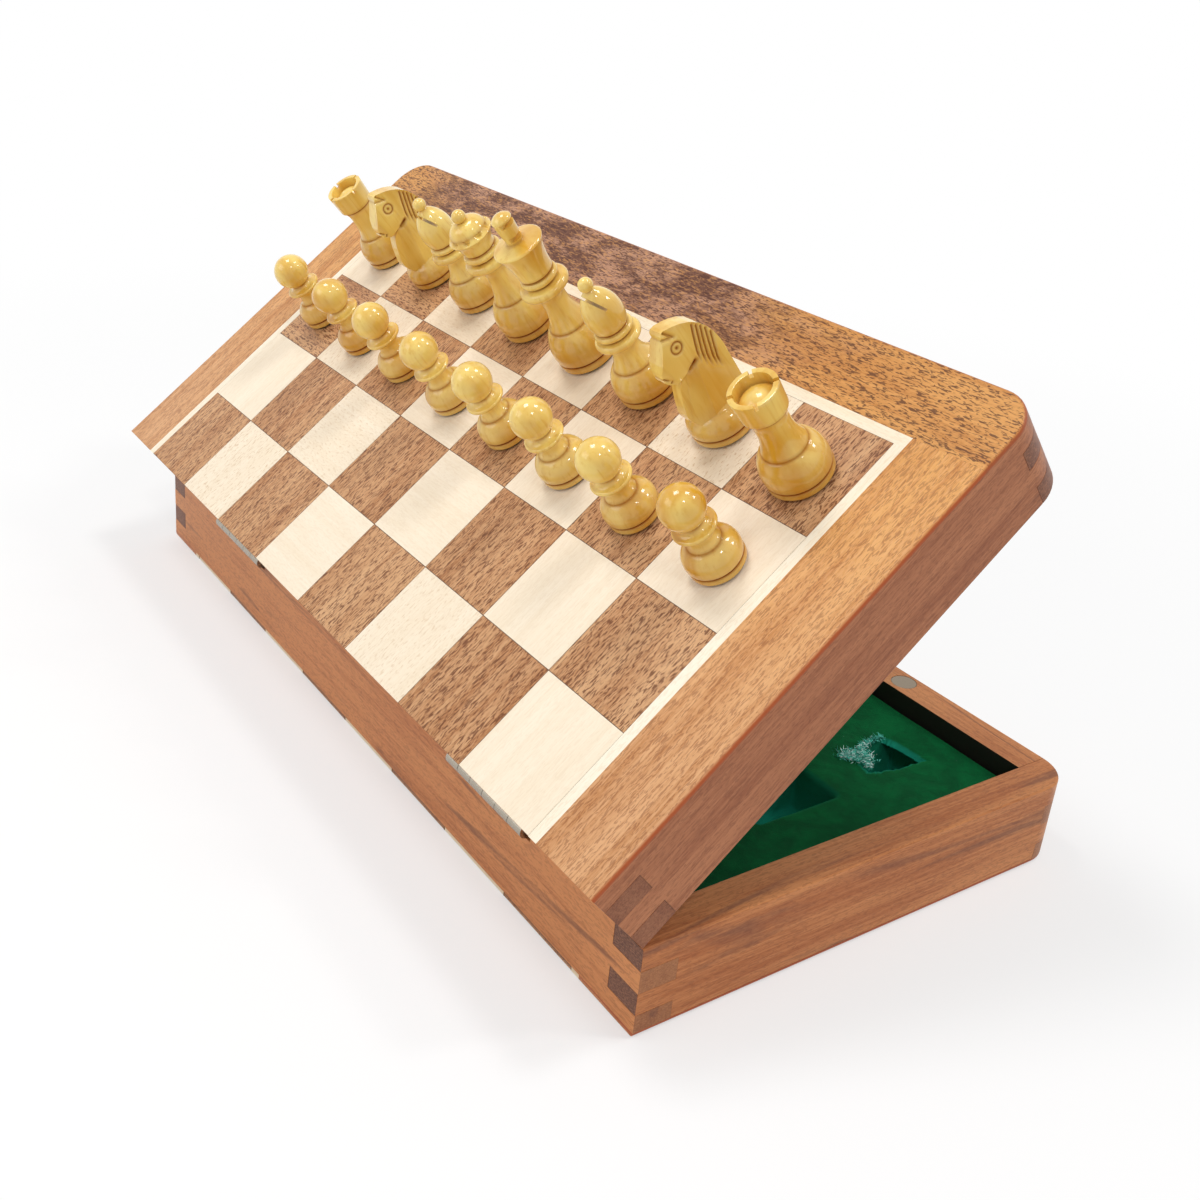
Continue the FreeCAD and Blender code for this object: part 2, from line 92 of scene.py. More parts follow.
class Graph:
    """Builds the nodes of a material or a world. An input may be a value or another node's output."""

    def __init__(self, name, kind="Material"):
        self.kind = kind
        self.owner = getattr(bpy.data, kind.lower() + "s").new(name)
        self.owner.use_nodes = True
        self.tree = self.owner.node_tree
        self.tree.nodes.clear()

    def set(self, socket, value):
        if isinstance(value, bpy.types.NodeSocket):
            self.tree.links.new(value, socket)
        elif socket.type == "RGBA" and len(value) == 3:
            socket.default_value = (*linear(*value), 1)
        else:
            socket.default_value = value

    def node(self, kind, inputs=(), **settings):
        node = self.tree.nodes.new("ShaderNode" + kind)
        for name, value in settings.items():
            setattr(node, name, value)
        for socket, value in dict(inputs).items():
            self.set(node.inputs[socket], value)
        return node

    def finish(self, shader):
        self.node("Output" + self.kind, {"Surface": shader})
        return self.owner

    def surface(self, **inputs):
        """The material, finished as one surface. Its inputs are named with _ for a space."""
        named = {name.replace("_", " "): value for name, value in inputs.items()}
        return self.finish(self.node("BsdfPrincipled", named).outputs[0])

    def either(self, share, a, b):
        return self.node("MixShader", {0: share, 1: a, 2: b}).outputs[0]

    def seen(self):
        """Whether a ray shows the thing itself: from the camera, off a gloss or through glass."""
        path = self.node("LightPath").outputs
        seen = self.math("MAXIMUM", path["Is Camera Ray"], path["Is Glossy Ray"])
        return self.math("MAXIMUM", seen, path["Is Transmission Ray"])

    def attribute(self, name, output="Fac"):
        return self.node("Attribute", attribute_name=name).outputs[output]

    def coordinates(self, kind="Object"):
        return self.node("TexCoord").outputs[kind]

    def math(self, operation, a, b=0.0, clamp=False):
        return self.node("Math", {0: a, 1: b}, operation=operation, use_clamp=clamp).outputs[0]

    def times(self, a, b):
        return self.math("MULTIPLY", a, b)

    def vector(self, operation, a, b=(0, 0, 0)):
        node = self.node("VectorMath", {0: a, 1: b}, operation=operation)
        return node.outputs["Value" if operation in ("DOT_PRODUCT", "LENGTH") else 0]

    def scaled(self, place, scale):
        """A texture's place and scale. A scale of three numbers differs along each axis."""
        if isinstance(scale, tuple):
            place, scale = self.vector("MULTIPLY", place, scale), 1.0
        return {"Vector": place, "Scale": scale}

    def noise(self, place, scale, detail=2.0, roughness=0.5, distortion=0.0):
        grade = {"Detail": detail, "Roughness": roughness, "Distortion": distortion}
        return self.node("TexNoise", self.scaled(place, scale) | grade).outputs["Fac"]

    def cells(self, place, scale):
        return self.node("TexVoronoi", self.scaled(place, scale)).outputs["Distance"]

    def span(self, value, low, high, to_low=0.0, to_high=1.0):
        ends = {"Value": value, "From Min": low, "From Max": high, "To Min": to_low, "To Max": to_high}
        return self.node("MapRange", ends, interpolation_type="SMOOTHSTEP").outputs["Result"]

    def weighed(self, a, b, share):
        return self.math("ADD", self.times(a, share), self.times(b, 1 - share))

    def toned(self, shade):
        """A shade made paler or deeper by the piece's own tone."""
        off = self.times(self.math("SUBTRACT", self.attribute("tone"), 0.5), 0.9)
        return self.math("ADD", shade, off, True)

    def mix(self, share, a, b):
        node = self.node("Mix", {"Factor": share}, data_type="RGBA")
        for socket, colour in zip([s for s in node.inputs if s.type == "RGBA"], (a, b)):
            self.set(socket, colour)
        return next(s for s in node.outputs if s.type == "RGBA")

    def bump(self, height, strength, distance):
        inputs = {"Strength": strength, "Distance": distance, "Height": height}
        return self.node("Bump", inputs).outputs["Normal"]


HEART_MIDDLE, HEART_RAGGED = 30.0, 110.0
HEART_FADE = (130.0, 70.0)
WARM_FADE = (10.0, 150.0)
# The darkest scorch, also painted shade deep inside narrow cuts
CHAR_AND_SHADE = (34, 14, 6)


def wood(name, pale, deep, pore, pores, gloss, rim=None, end=None, heart=None, fleck=None, smoke=None, warm=None):
    """Wood whose fibres run along the first axis of the piece's "grain" coordinates, in millimetres."""
    g = Graph(name)
    grain = g.attribute("grain", "Vector")
    along = g.node("SeparateXYZ", {0: grain}).outputs[0]
    bands = g.noise(grain, (0.012, 0.16, 0.16), 3.0, 0.55, 0.4)
    streaks = g.noise(grain, (0.04, 1.5, 1.5), 3.0, 0.6)
    figure = g.noise(grain, (0.11, 0.18, 0.18), 3.0, 0.6)
    shade = g.toned(g.span(g.weighed(bands, streaks, 0.55), 0.32, 0.68))
    colour = g.mix(shade, deep, pale)
    if warm:
        colour = g.mix(g.span(along, *WARM_FADE, 0.0, 0.75), colour, g.mix(shade, *warm))
    if smoke:
        drift = g.noise(grain, (0.009, 0.1, 0.1), 3.0, 0.6, 1.2)
        colour = g.mix(g.span(drift, 0.56, 0.7, 0.0, 0.7), colour, smoke)
    if heart:
        cloud = g.noise(grain, (0.02, 0.05, 0.05), 4.0, 0.6, 0.8)
        ragged = g.times(g.math("SUBTRACT", cloud, 0.5), HEART_RAGGED)
        far = g.math("ADD", g.math("ABSOLUTE", g.math("SUBTRACT", along, HEART_MIDDLE)), ragged)
        ink = g.noise(grain, (0.05, 0.12, 0.12), 4.0, 0.7, 0.6)
        colour = g.mix(g.span(far, *HEART_FADE), colour, g.mix(g.span(ink, 0.4, 0.62), *heart))
    dashes = g.cells(grain, (0.34, 1.7, 1.7))
    wavy = g.noise(grain, (0.42, 1.8, 1.8), 2.0, 0.5, 0.9)
    open_pore = g.times(g.span(dashes, 0.36, 0.16), g.span(figure, 0.35, 0.6, 0.35, 1.0))
    open_pore = g.math("MAXIMUM", open_pore, g.times(g.span(wavy, 0.53, 0.61), 0.9))
    open_pore = g.times(open_pore, pores)
    colour = g.mix(g.times(g.span(wavy, 0.47, 0.37), 0.5 * pores), colour, pale)
    colour = g.mix(open_pore, colour, pore)
    if fleck:
        spots = g.noise(grain, (0.6, 1.7, 1.7), 2.0, 0.55)
        ray = g.times(g.attribute("fleck"), 0.7)
        colour = g.mix(g.times(g.span(spots, 0.55, 0.68), ray), colour, fleck)
    if rim:
        colour = g.mix(g.attribute("rim"), colour, rim)
    if end:
        across = g.vector("DOT_PRODUCT", g.attribute("fibre", "Vector"), g.coordinates("Normal"))
        cut = g.times(g.span(g.math("ABSOLUTE", across), 0.45, 0.85), g.attribute("ends"))
        dots = g.noise(grain, (1.2, 1.2, 3.2), 3.0, 0.6, 0.5)
        colour = g.mix(cut, colour, g.mix(g.span(dots, 0.38, 0.66), *end))
    height = g.math("SUBTRACT", 1.0, open_pore)
    return g.surface(Base_Color=colour, Roughness=gloss, Specular_IOR_Level=0.2,
                     Normal=g.bump(height, 0.12, 0.00015))


def men_wood(name, pale, deep, low, burnt, streak, lacquer, satin):
    """Lacquered turned wood, its fibres along the piece's own axis: scorched where the tool cut a line, with painted
    shade in cuts and hollows and towards the foot.
    """
    g = Graph(name)
    place = g.coordinates()
    chance = g.node("ObjectInfo").outputs["Random"]
    moved = g.vector("ADD", place, g.vector("MULTIPLY", chance, (0.4, 0.7, 0.9)))
    bands = g.noise(moved, (110.0, 110.0, 14.0), 3.0, 0.5, 0.6)
    lines = g.noise(moved, (900.0, 900.0, 40.0))
    cloud = g.noise(moved, (60.0, 60.0, 45.0))
    shade = g.toned(g.span(g.weighed(bands, cloud, 0.6), 0.3, 0.7))
    colour = g.mix(shade, deep, pale)
    colour = g.mix(g.times(g.span(lines, 0.5, 0.75), streak), colour, deep)
    # Painted shade: the wood is darker towards the foot, where less light falls
    height = g.vector("DOT_PRODUCT", place, (0, 0, 1))
    colour = g.mix(g.span(height, 0.004, 0.014, 0.3, 0.0), colour, low)
    # Scorched lines, and painted shade in cuts, corners and under collars, darken the wood here
    burn = g.attribute("burn")
    colour = g.mix(burn, colour, burnt)
    colour = g.mix(g.span(burn, 0.88, 1.0, 0.0, 0.75), colour, CHAR_AND_SHADE)
    return g.surface(Base_Color=colour, Roughness=g.span(burn, 0.0, 1.0, 0.34, 0.9), Coat_Roughness=satin,
                     Coat_Weight=g.span(burn, 0.0, 0.8, lacquer, 0.0), Specular_IOR_Level=0.1)


def plain(name, colour, metallic, roughness, brushed=0.0):
    """One colour. Where it is brushed, its roughness varies at that scale."""
    g = Graph(name)
    if brushed:
        marks = g.noise(g.coordinates(), brushed, 4.0, 0.6)
        roughness = g.span(marks, 0.3, 0.7, roughness * 0.75, roughness * 1.3)
    return g.surface(Base_Color=colour, Metallic=metallic, Roughness=roughness)


def velvet_pile(name):
    """Green velvet: a dark pile that catches the light where it leans, with a little dust on it."""
    g = Graph(name)
    place = g.coordinates()
    nap = g.noise(place, 70.0, 3.0, 0.55, 0.6)
    crush = g.noise(place, 260.0, 3.0, 0.6, 0.5)
    pile = g.noise(place, 5200.0, 2.0, 0.6)
    colour = g.mix(g.span(g.weighed(nap, crush, 0.65), 0.36, 0.64), (0, 80, 40), (0, 106, 54))
    colour = g.mix(g.span(pile, 0.35, 0.68, 0.0, 0.55), colour, (0, 58, 34))
    # Teal where marked: painted light in the slots' dark insides and rolled mouths, and the frayed pile at the torn
    # lip
    colour = g.mix(g.attribute("worn"), colour, (30, 160, 134))
    dust = g.span(g.cells(place, 330.0), 0.075, 0.045)
    rare = g.span(g.noise(place, 120.0, 1.0), 0.6, 0.66)
    colour = g.mix(g.times(dust, g.times(rare, 0.5)), colour, (150, 190, 170))
    height = g.math("ADD", pile, g.times(crush, 2.0))
    return g.surface(Base_Color=colour, Roughness=0.95, Specular_IOR_Level=0.15, Sheen_Weight=0.3,
                     Sheen_Roughness=0.35, Sheen_Tint=(30, 180, 90), Normal=g.bump(height, 0.5, 0.0006))


END_GRAIN = ((88, 54, 44), (140, 96, 72))
SMOKE = (122, 76, 56)
MAPLE_RIM = (226, 200, 160)
# The lid's walnut is the base's made deeper: painted shade on the lid's walls, which stand in shade
CASE = {
    "base": wood("base_walnut", (210, 140, 86), (168, 94, 50), (116, 60, 36), 0.3, 0.42,
                 end=END_GRAIN, smoke=SMOKE),
    "lid": wood("lid_walnut", (186, 122, 84), (146, 84, 54), (104, 56, 36), 0.35, 0.42,
                end=END_GRAIN, smoke=SMOKE),
}
BORDER_FRONT = wood("border_front_walnut", (216, 156, 88), (178, 112, 50), (78, 40, 24), 0.9, 0.34,
                    rim=(168, 88, 50), heart=((108, 68, 50), (184, 138, 110)))
BORDER_END = wood("border_end_walnut", (226, 176, 130), (190, 132, 84), (126, 70, 42), 0.5, 0.34,
                  rim=(176, 88, 48), warm=((190, 118, 42), (226, 164, 78)))
DARK_SQUARE = wood("dark_square_walnut", (214, 168, 124), (176, 122, 80), (104, 58, 36), 0.9, 0.34,
                   rim=(104, 62, 42))
LIGHT_SQUARE = wood("light_square_maple", (250, 236, 214), (243, 226, 200), (222, 198, 166), 0.2, 0.34,
                    rim=MAPLE_RIM, fleck=(206, 172, 128))
INLAY_STRIP = wood("inlay_maple", (252, 242, 222), (246, 230, 202), (226, 202, 168), 0.3, 0.34, rim=MAPLE_RIM)
# Each: pale, deep, painted shade near the foot, the colour of scorch and painted shade in cuts, streaks, lacquer and
# its satin
BOXWOOD = men_wood("boxwood", (246, 215, 118), (216, 158, 40), (180, 108, 22), (146, 68, 16), 0.35, 1.0, 0.08)
ROSEWOOD = men_wood("rosewood", (120, 58, 36), (64, 26, 18), (64, 26, 18), (28, 10, 8), 0.7, 0.6, 0.22)
VELVET = velvet_pile("green_velvet")
FUZZ = plain("torn_fuzz", (214, 244, 238), 0.0, 0.95)
FRAYED = plain("frayed_pile", (84, 190, 170), 0.0, 0.95)
GLUE = plain("glue_line", (88, 56, 34), 0.0, 0.6)
CORE = plain("core_board", (150, 116, 84), 0.0, 0.7)
STEEL = plain("steel", (150, 150, 150), 1.0, 0.4, 400.0)
NICKEL = plain("nickel", (140, 126, 108), 1.0, 0.2, 400.0)
HINGE = plain("hinge_nickel", (172, 164, 150), 1.0, 0.26, 700.0)
NEAR_BLACK_INSIDE = plain("black_stain", (30, 24, 19), 0.0, 0.6)
FELT = plain("felt", (30, 70, 46), 0.0, 0.95)


# Pieces

def placed(name, data):
    """A new object in the scene."""
    made = bpy.data.objects.new(name, data)
    bpy.context.scene.collection.objects.link(made)
    return made


def show(name, mesh, material, body, slot, nodes=(), place=None):
    """Puts a mesh in the scene as a piece that stands for the named CAD nodes."""
    piece = placed(name, mesh)
    if place:
        piece.matrix_world = place
    mesh.materials.clear()
    mesh.materials.append(material)
    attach(piece, body)
    if nodes:
        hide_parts(*nodes)
    return piece


def mark(mesh, name, values):
    """Sets what a shader reads by name: one number for all vertices, or a list of numbers or vectors."""
    if not isinstance(values, list):
        values = [values] * len(mesh.vertices)
    if isinstance(values[0], Vector):
        kind, key, values = "FLOAT_VECTOR", "vector", [c for v in values for c in v]
    else:
        kind, key = "FLOAT", "value"
    mesh.attributes.new(name, kind, "POINT").data.foreach_set(key, values)


def mesh_of(name, verts, faces, **marks):
    """A mesh from points in millimetres, with its marks for the shaders."""
    mesh = bpy.data.meshes.new(name)
    mesh.from_pydata([v * MM for v in verts], [], faces)
    for key, values in marks.items():
        mark(mesh, key, values)
    return mesh


def written(bm, mesh):
    """The mesh with what was edited put back into it."""
    bm.to_mesh(mesh)
    bm.free()
    return mesh


def sides(loop):
    """The sides of a closed loop of points."""
    return list(zip(loop, loop[1:] + loop[:1]))


def modified(mesh, *settings):
    """The mesh as the given modifiers leave it."""
    tool = placed("tool", mesh)
    for kind, values in settings:
        modifier = tool.modifiers.new(kind, kind)
        for key, value in values.items():
            setattr(modifier, key, value)
    made = bpy.data.meshes.new_from_object(tool.evaluated_get(bpy.context.evaluated_depsgraph_get()))
    bpy.data.objects.remove(tool)
    return made


def one_solid(place):
    return "all"


def strip_at(half, inner):
    """Tells which of a half's strips is at a place: the one along the front or the one at either end."""
    back = PLACES[half].inverted()

    def which(place):
        spot = back @ place / MM
        return "front" if spot.y > inner else "left" if spot.x < 0 else "right"

    return which


def clean_copy(node, solid_at):
    """A CAD node's mesh, its flat faces whole and touching solids apart. solid_at names the solid at a place."""
    under = 0.05 * MM
    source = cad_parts[node].data
    solids = {}
    for face in source.polygons:
        solids.setdefault(solid_at(face.center - face.normal * under), []).append(face.vertices)
    bm = bmesh.new()
    for faces in solids.values():
        verts = {}
        for face in faces:
            for i in face:
                if i not in verts:
                    verts[i] = bm.verts.new(source.vertices[i].co)
            bm.faces.new([verts[i] for i in face])
        bmesh.ops.remove_doubles(bm, verts=list(verts.values()), dist=2e-6)
    bmesh.ops.dissolve_limit(bm, angle_limit=math.radians(0.5), verts=bm.verts, edges=bm.edges)
    return written(bm, bpy.data.meshes.new(node))


def islands(mesh):
    """Which connected piece of the mesh each vertex belongs to."""
    parent = list(range(len(mesh.vertices)))

    def root(i):
        while parent[i] != i:
            parent[i] = parent[parent[i]]
            i = parent[i]
        return i

    for e in mesh.edges:
        parent[root(e.vertices[0])] = root(e.vertices[1])
    return [root(i) for i in range(len(parent))]


def ease_outside(mesh, half, width):
    """Rounds the strips' outer edges on the board face."""
    back = PLACES[half].inverted()
    turn = back.to_3x3()
    pivot = Vector((LENGTH / 2 - CORNER, WIDTH - CORNER))
    bm = bmesh.new()
    bm.from_mesh(mesh)
    outside = []
    for e in bm.edges:
        middle = back @ ((e.verts[0].co + e.verts[1].co) / 2) / MM
        upright = [turn @ f.normal for f in e.link_faces if abs((turn @ f.normal).z) < 0.5]
        if abs(middle.z) > 0.01 or len(upright) != 1:
            continue
        beyond = middle + upright[0] * 0.5
        out = Vector((abs(beyond.x), beyond.y))
        past_corner = min(out - pivot) > 0 and (out - pivot).length > CORNER
        if out.x > LENGTH / 2 or out.y > WIDTH or past_corner:
            outside.append(e)
    bmesh.ops.bevel(bm, geom=outside, offset=width * MM, segments=4, profile=0.5, affect="EDGES",
                    clamp_overlap=True)
    written(bm, mesh)


def across_or_along(centre, chance):
    """Most squares have their grain the short way of the board, a few the long way."""
    return "y" if chance.random() < 0.8 else "x"


def strip_way(centre, chance):
    return "x" if abs(centre.x) < 1 else "y"


BOARD_LENGTH = 400
RIM_DEPTH = 0.4


def lay_grain(mesh, half, along, seed, shade=None):
    """Gives each island of a case piece its own stretch of wood, its fibres along the given axis of the half."""
    back = PLACES[half].inverted()
    turn = PLACES[half].to_3x3()
    groups = islands(mesh)
    points = [back @ v.co / MM for v in mesh.vertices]
    members = {}
    for group, p in zip(groups, points):
        members.setdefault(group, []).append(p)
    styles = {}
    for group, ps in members.items():
        centre = sum(ps, Vector()) / len(ps)
        chance = random.Random(f"{seed} {round(centre.x / 5)} {round(centre.y / 5)} {round(centre.z / 5)}")
        way = along(centre, chance) if callable(along) else along
        axes = 3 if along is across_or_along else 2
        offset = [chance.uniform(-BOARD_LENGTH, BOARD_LENGTH) for _ in range(axes)]
        offset = Vector([0.0] * (3 - axes) + offset)
        tone = shade or chance.uniform(0.25, 0.75)
        styles[group] = (way, offset, tone, max(0.0, chance.uniform(-0.5, 1.0)))
    rows = []
    for group, p in zip(groups, points):
        way, offset, tone, fleck = styles[group]
        place, fibre = (p, turn.col[0]) if way == "x" else (p.yxz, turn.col[1])
        rows.append((place + offset, fibre, tone, fleck, min(1.0, p.z / RIM_DEPTH)))
    for name, values in zip(("grain", "fibre", "tone", "fleck", "rim"), zip(*rows)):
        mark(mesh, name, list(values))


def dress(node, half, slot, material, along="x", bevel=0.0, shade=None, solid_at=one_solid, eased=0.0):
    """A case piece with its sharp edges eased and its grain laid."""
    mesh = clean_copy(node, solid_at)
    if eased:
        ease_outside(mesh, half, eased)
    if bevel:
        mesh = modified(mesh, ("BEVEL", dict(width=bevel * MM, segments=2, limit_method="ANGLE",
                                             angle_limit=math.radians(40))))
    mesh.shade_smooth()
    mesh.set_sharp_from_angle(angle=math.radians(32))
    mesh = modified(mesh, ("WEIGHTED_NORMAL", dict(keep_sharp=True, weight=100)))
    lay_grain(mesh, half, along, node, shade)
    return show(node + "_shown", mesh, material, half, slot, [node])


def paint(piece, half, material, where):
    """Gives a second material to the faces of a half's piece that lie where told."""
    piece.data.materials.append(material)
    back = PLACES[half].inverted()
    for face in piece.data.polygons:
        if where(back @ face.center / MM):
            face.material_index = 1


def wall(node, half, along, shade, ends):
    """A wall of the case, near black on its inside faces above the panel, with its end grain as dark as given."""
    piece = dress(node, half, "walnut_case", CASE[half], along, 0.2, shade)
    mark(piece.data, "ends", ends)

    def inside(spot):
        across = abs(spot.x) - INNER_HALF if along == "y" else abs(spot.y - WIDTH / 2) - (WIDTH / 2 - WALL)
        return abs(across) < 0.02 and spot.z > PANEL_TOP

    # The inside faces above the panel are given a near-black colour
    paint(piece, half, NEAR_BLACK_INSIDE, inside)


# Each wall: the way of its fibres, its tone and how dark its end grain is. The base's hinge wall is made palest as
# painted light, for the light that falls on that side
WALLS = {
    "base": {"hinge": ("x", 1.0, 0.5), "front": ("x", 0.8, 0.5),
             "left_end": ("y", 0.6, 0.9), "right_end": ("y", 0.62, 0.95)},
    "lid": {"hinge": ("x", 0.5, 0.45), "front": ("x", 0.55, 0.75),
            "left_end": ("y", 0.6, 0.5), "right_end": ("y", 0.62, 0.5)},
}
# Each plainer piece: its slot, its material and how wide its edges are eased
FITTINGS = {
    "core_panel": ("core_board", CORE, 0.0),
    "steel_sheet": ("steel", STEEL, 0.0),
    "closure_magnets": ("nickel", NICKEL, 0.25),
    "left_hinge_leaf": ("hinge_nickel", HINGE, 0.15),
    "right_hinge_leaf": ("hinge_nickel", HINGE, 0.15),
    "hinge_screws": ("hinge_nickel", HINGE, 0.1),
}
for half in HALVES:
    for side, looks in WALLS[half].items():
        wall(f"{half}_{side}_wall", half, *looks)
    dress(half + "_dark_squares", half, "walnut_veneer", DARK_SQUARE, across_or_along)
    dress(half + "_light_squares", half, "maple_veneer", LIGHT_SQUARE, across_or_along)
    dress(half + "_inlay_strips", half, "maple_veneer", INLAY_STRIP, strip_way,
          solid_at=strip_at(half, RANKS * SQUARE))
    strips = dress(half + "_border_strips", half, "walnut_veneer", BORDER_END, strip_way,
                   solid_at=strip_at(half, WIDTH - BORDER), eased=0.9)
    paint(strips, half, BORDER_FRONT, lambda spot: spot.y > WIDTH - BORDER)
    for fitting, (slot, material, bevel) in FITTINGS.items():
        dress(f"{half}_{fitting}", half, slot, material, bevel=bevel)
for node in ("left_hinge_pin", "right_hinge_pin"):
    dress(node, "base", "hinge_nickel", HINGE, bevel=0.1)


def boxes(name, extents):
    """One mesh of plain blocks, from their lowest and highest corners in millimetres."""
    bm = bmesh.new()
    for low, high in extents:
        low, high = Vector(low), Vector(high)
        for v in bmesh.ops.create_cube(bm, size=1.0)["verts"]:
            v.co = ((low + high) / 2 + Vector(a * b for a, b in zip(v.co, high - low))) * MM
    return written(bm, bpy.data.meshes.new(name))


def glue_lines():
    """What shows between the squares: glue, just under the polished face."""
    side = GLUE_LINE / 2
    strips = []
    for i in range(FILES + 1):
        x = i * SQUARE - BOARD_HALF
        strips.append(((x - side, 0, GLUE_SUNK), (x + side, RANKS * SQUARE, VENEER)))
    for j in range(1, RANKS + 1):
        y = j * SQUARE
        strips.append(((-BOARD_HALF, y - side, GLUE_SUNK), (BOARD_HALF, y + side, VENEER)))
    return strips


for half in HALVES:
    mesh = boxes(half + "_glue_lines", glue_lines())
    mesh.transform(PLACES[half])
    show(half + "_glue_lines", mesh, GLUE, half, "walnut_veneer")


# Chessmen. Radii, heights and how far a curve bows out, in millimetres.

FELT_THICK = 0.5
FELT_INSET = 0.8
FOOT_ROUND = 0.7
GROOVE_WIDE = 0.8
GROOVE_DEEP = 0.5
RING_LIP = 0.7
SEAT_GAP = 0.02
EASED = 0.16
SCORCH_AND_SHADE_SPREAD = 0.58
ARC_STEP = 0.8
LINE_STEP = 0.9

pawn = Sizes(
    foot=7.7, ring=5.3, neck=3.6, collar=6.0, ball=6.0, throat=3.3,
    foot_rise=1.8, bulb_rise=5.8, stem_rise=2.6, flare_rise=2.2, collar_rise=1.2, throat_rise=1.6,
    belly=1.1, waist=0.35, flare=0.5,
)
rook = Sizes(
    foot=9.1, ring=6.9, neck=4.7, crown=6.2, rim=6.6, well=5.1,
    foot_rise=1.9, bulb_rise=8.2, stem_rise=8.0, flare_rise=4.2, crown_rise=7.4,
    well_depth=3.8, dome_rise=2.4, belly=1.0, waist=0.5, flare=0.4, notch_width=1.1, notch_depth=1.3,
)
bishop = Sizes(
    foot=9.3, ring=6.9, neck=4.1, collar=6.9, bead=5.8, mitre=5.0, tip=1.3, ball=2.15,
    foot_rise=2.0, bulb_rise=7.8, stem_rise=5.6, flare_rise=2.6, collar_rise=2.4, bead_rise=1.8,
    mitre_rise=13.0, belly=1.0, waist=0.4, flare=0.5, mitre_bow=2.3,
    slot_width=0.8, slot_rise=7.6, slot_set=0.6, slot_lean=25.0,
)
queen = Sizes(
    foot=9.4, ring=6.9, neck=3.7, collar=7.4, bead=6.2, cup=5.3, rim=7.2, shoulder=6.0, tip=1.5, ball=2.2,
    foot_rise=2.2, bulb_rise=9.6, stem_rise=9.4, flare_rise=4.0, collar_rise=2.9, bead_rise=2.0, cup_rise=5.2,
    rim_rise=1.6, dome_rise=3.4, belly=1.1, waist=0.6, flare=0.6, cup_bow=0.5, scallops=9, scallop=1.4,
)
king = Sizes(
    foot=9.7, ring=7.0, neck=4.0, collar=7.7, bead=5.9, cup=5.4, rim=7.7, finial=2.6, cap=3.1,
    foot_rise=2.3, bulb_rise=9.9, stem_rise=9.5, flare_rise=3.8, collar_rise=3.0, bead_rise=2.2, cup_rise=10.4,
    rim_rise=0.5, dish_rise=0.9, finial_rise=8.0, cap_rise=1.6, belly=1.1, waist=0.7, flare=0.7, cup_bow=0.6,
    cut_width=1.6, cut_depth=1.7, cut_rise=1.8, cut_pitch=5.0,
)
knight = Sizes(
    foot=9.3, shoulder=6.4, foot_rise=1.9, shoulder_rise=5.4, belly=1.1, lip=1.6, lip_rise=0.9, lip_bow=0.2,
    low=-3.0, high=30.0, thick_low=5.6, thick_high=2.25, flare=0.7, flare_rise=0.5, blank=10.2,
    tenon=5.0, tenon_top=-0.4, chest=1.9, chest_at=-3.0, chest_lean=0.2134, chest_slope=0.62,
    jaw_at=0.5, jaw_rise=16.4, jaw_slope=0.3, nose=2.0, nose_at=-8.9, nose_slope=0.72,
    eye=(-1.7, 23.6), eye_ring=1.6, eye_line=0.3, eye_deep=0.3, pupil=0.55,
)
# The horse's head from the side: its outline, the locks of its mane, and the other lines cut into it
KNIGHT_OUTLINE = [
    (-5.4, -3.0), (-7.4, 0.0), (-8.3, 1.6), (-8.7, 3.0), (-8.7, 4.6), (-8.2, 6.6), (-7.4, 9.4), (-6.4, 12.0),
    (-5.4, 13.6), (-2.6, 15.2), (0.5, 16.4), (-1.8, 16.4), (-4.6, 15.9), (-6.8, 15.6), (-8.2, 16.2), (-8.9, 17.2),
    (-8.95, 18.6), (-8.7, 20.2), (-7.6, 22.4), (-5.9, 25.0), (-4.6, 27.0), (-4.0, 28.2), (-3.7, 29.2),
    (-3.1, 29.9), (-2.0, 29.9), (-0.6, 29.4), (0.5, 29.0), (2.6, 28.0), (4.8, 26.5), (6.6, 24.6), (8.0, 22.2),
    (8.9, 19.6), (9.4, 16.4), (9.5, 13.0), (9.4, 9.0), (9.2, 5.4), (8.7, 2.6), (7.4, 0.0), (5.4, -3.0),
]
KNIGHT_MANE = [
    [(4.9, 25.2), (3.5, 21.6), (2.4, 18.4), (1.7, 15.0)],
    [(5.9, 24.2), (4.7, 20.9), (3.5, 17.4), (2.6, 13.2)],
    [(6.8, 23.1), (5.5, 19.6), (4.3, 15.7), (3.7, 11.6)],
    [(7.6, 21.7), (6.5, 18.2), (5.4, 14.2), (4.9, 10.6)],
    [(8.3, 19.8), (7.2, 16.4), (6.2, 12.9), (5.8, 9.6)],
]
# Each cut: its line, half its width, its depth, how dark it is and whether it fades out at its far end
KNIGHT_CUTS = [(lock, 0.4, 0.55, 0.9, True) for lock in KNIGHT_MANE] + [
    ([(-2.6, 29.4), (-0.9, 26.6)], 0.4, 0.7, 0.6, False),
    ([(-4.0, 28.0), (-1.7, 26.9)], 0.45, 0.7, 0.4, False),
    ([(-8.8, 18.6), (-7.9, 17.6)], 0.3, 0.6, 0.9, False),
    ([(-7.6, 16.6), (-7.3, 17.1)], 0.25, 0.5, 0.9, False),
    # The undercut below the jaw, fully darkened as painted shadow under the cheek
    ([(0.7, 16.7), (-1.6, 15.8)], 0.75, 0.9, 1.0, False),
]


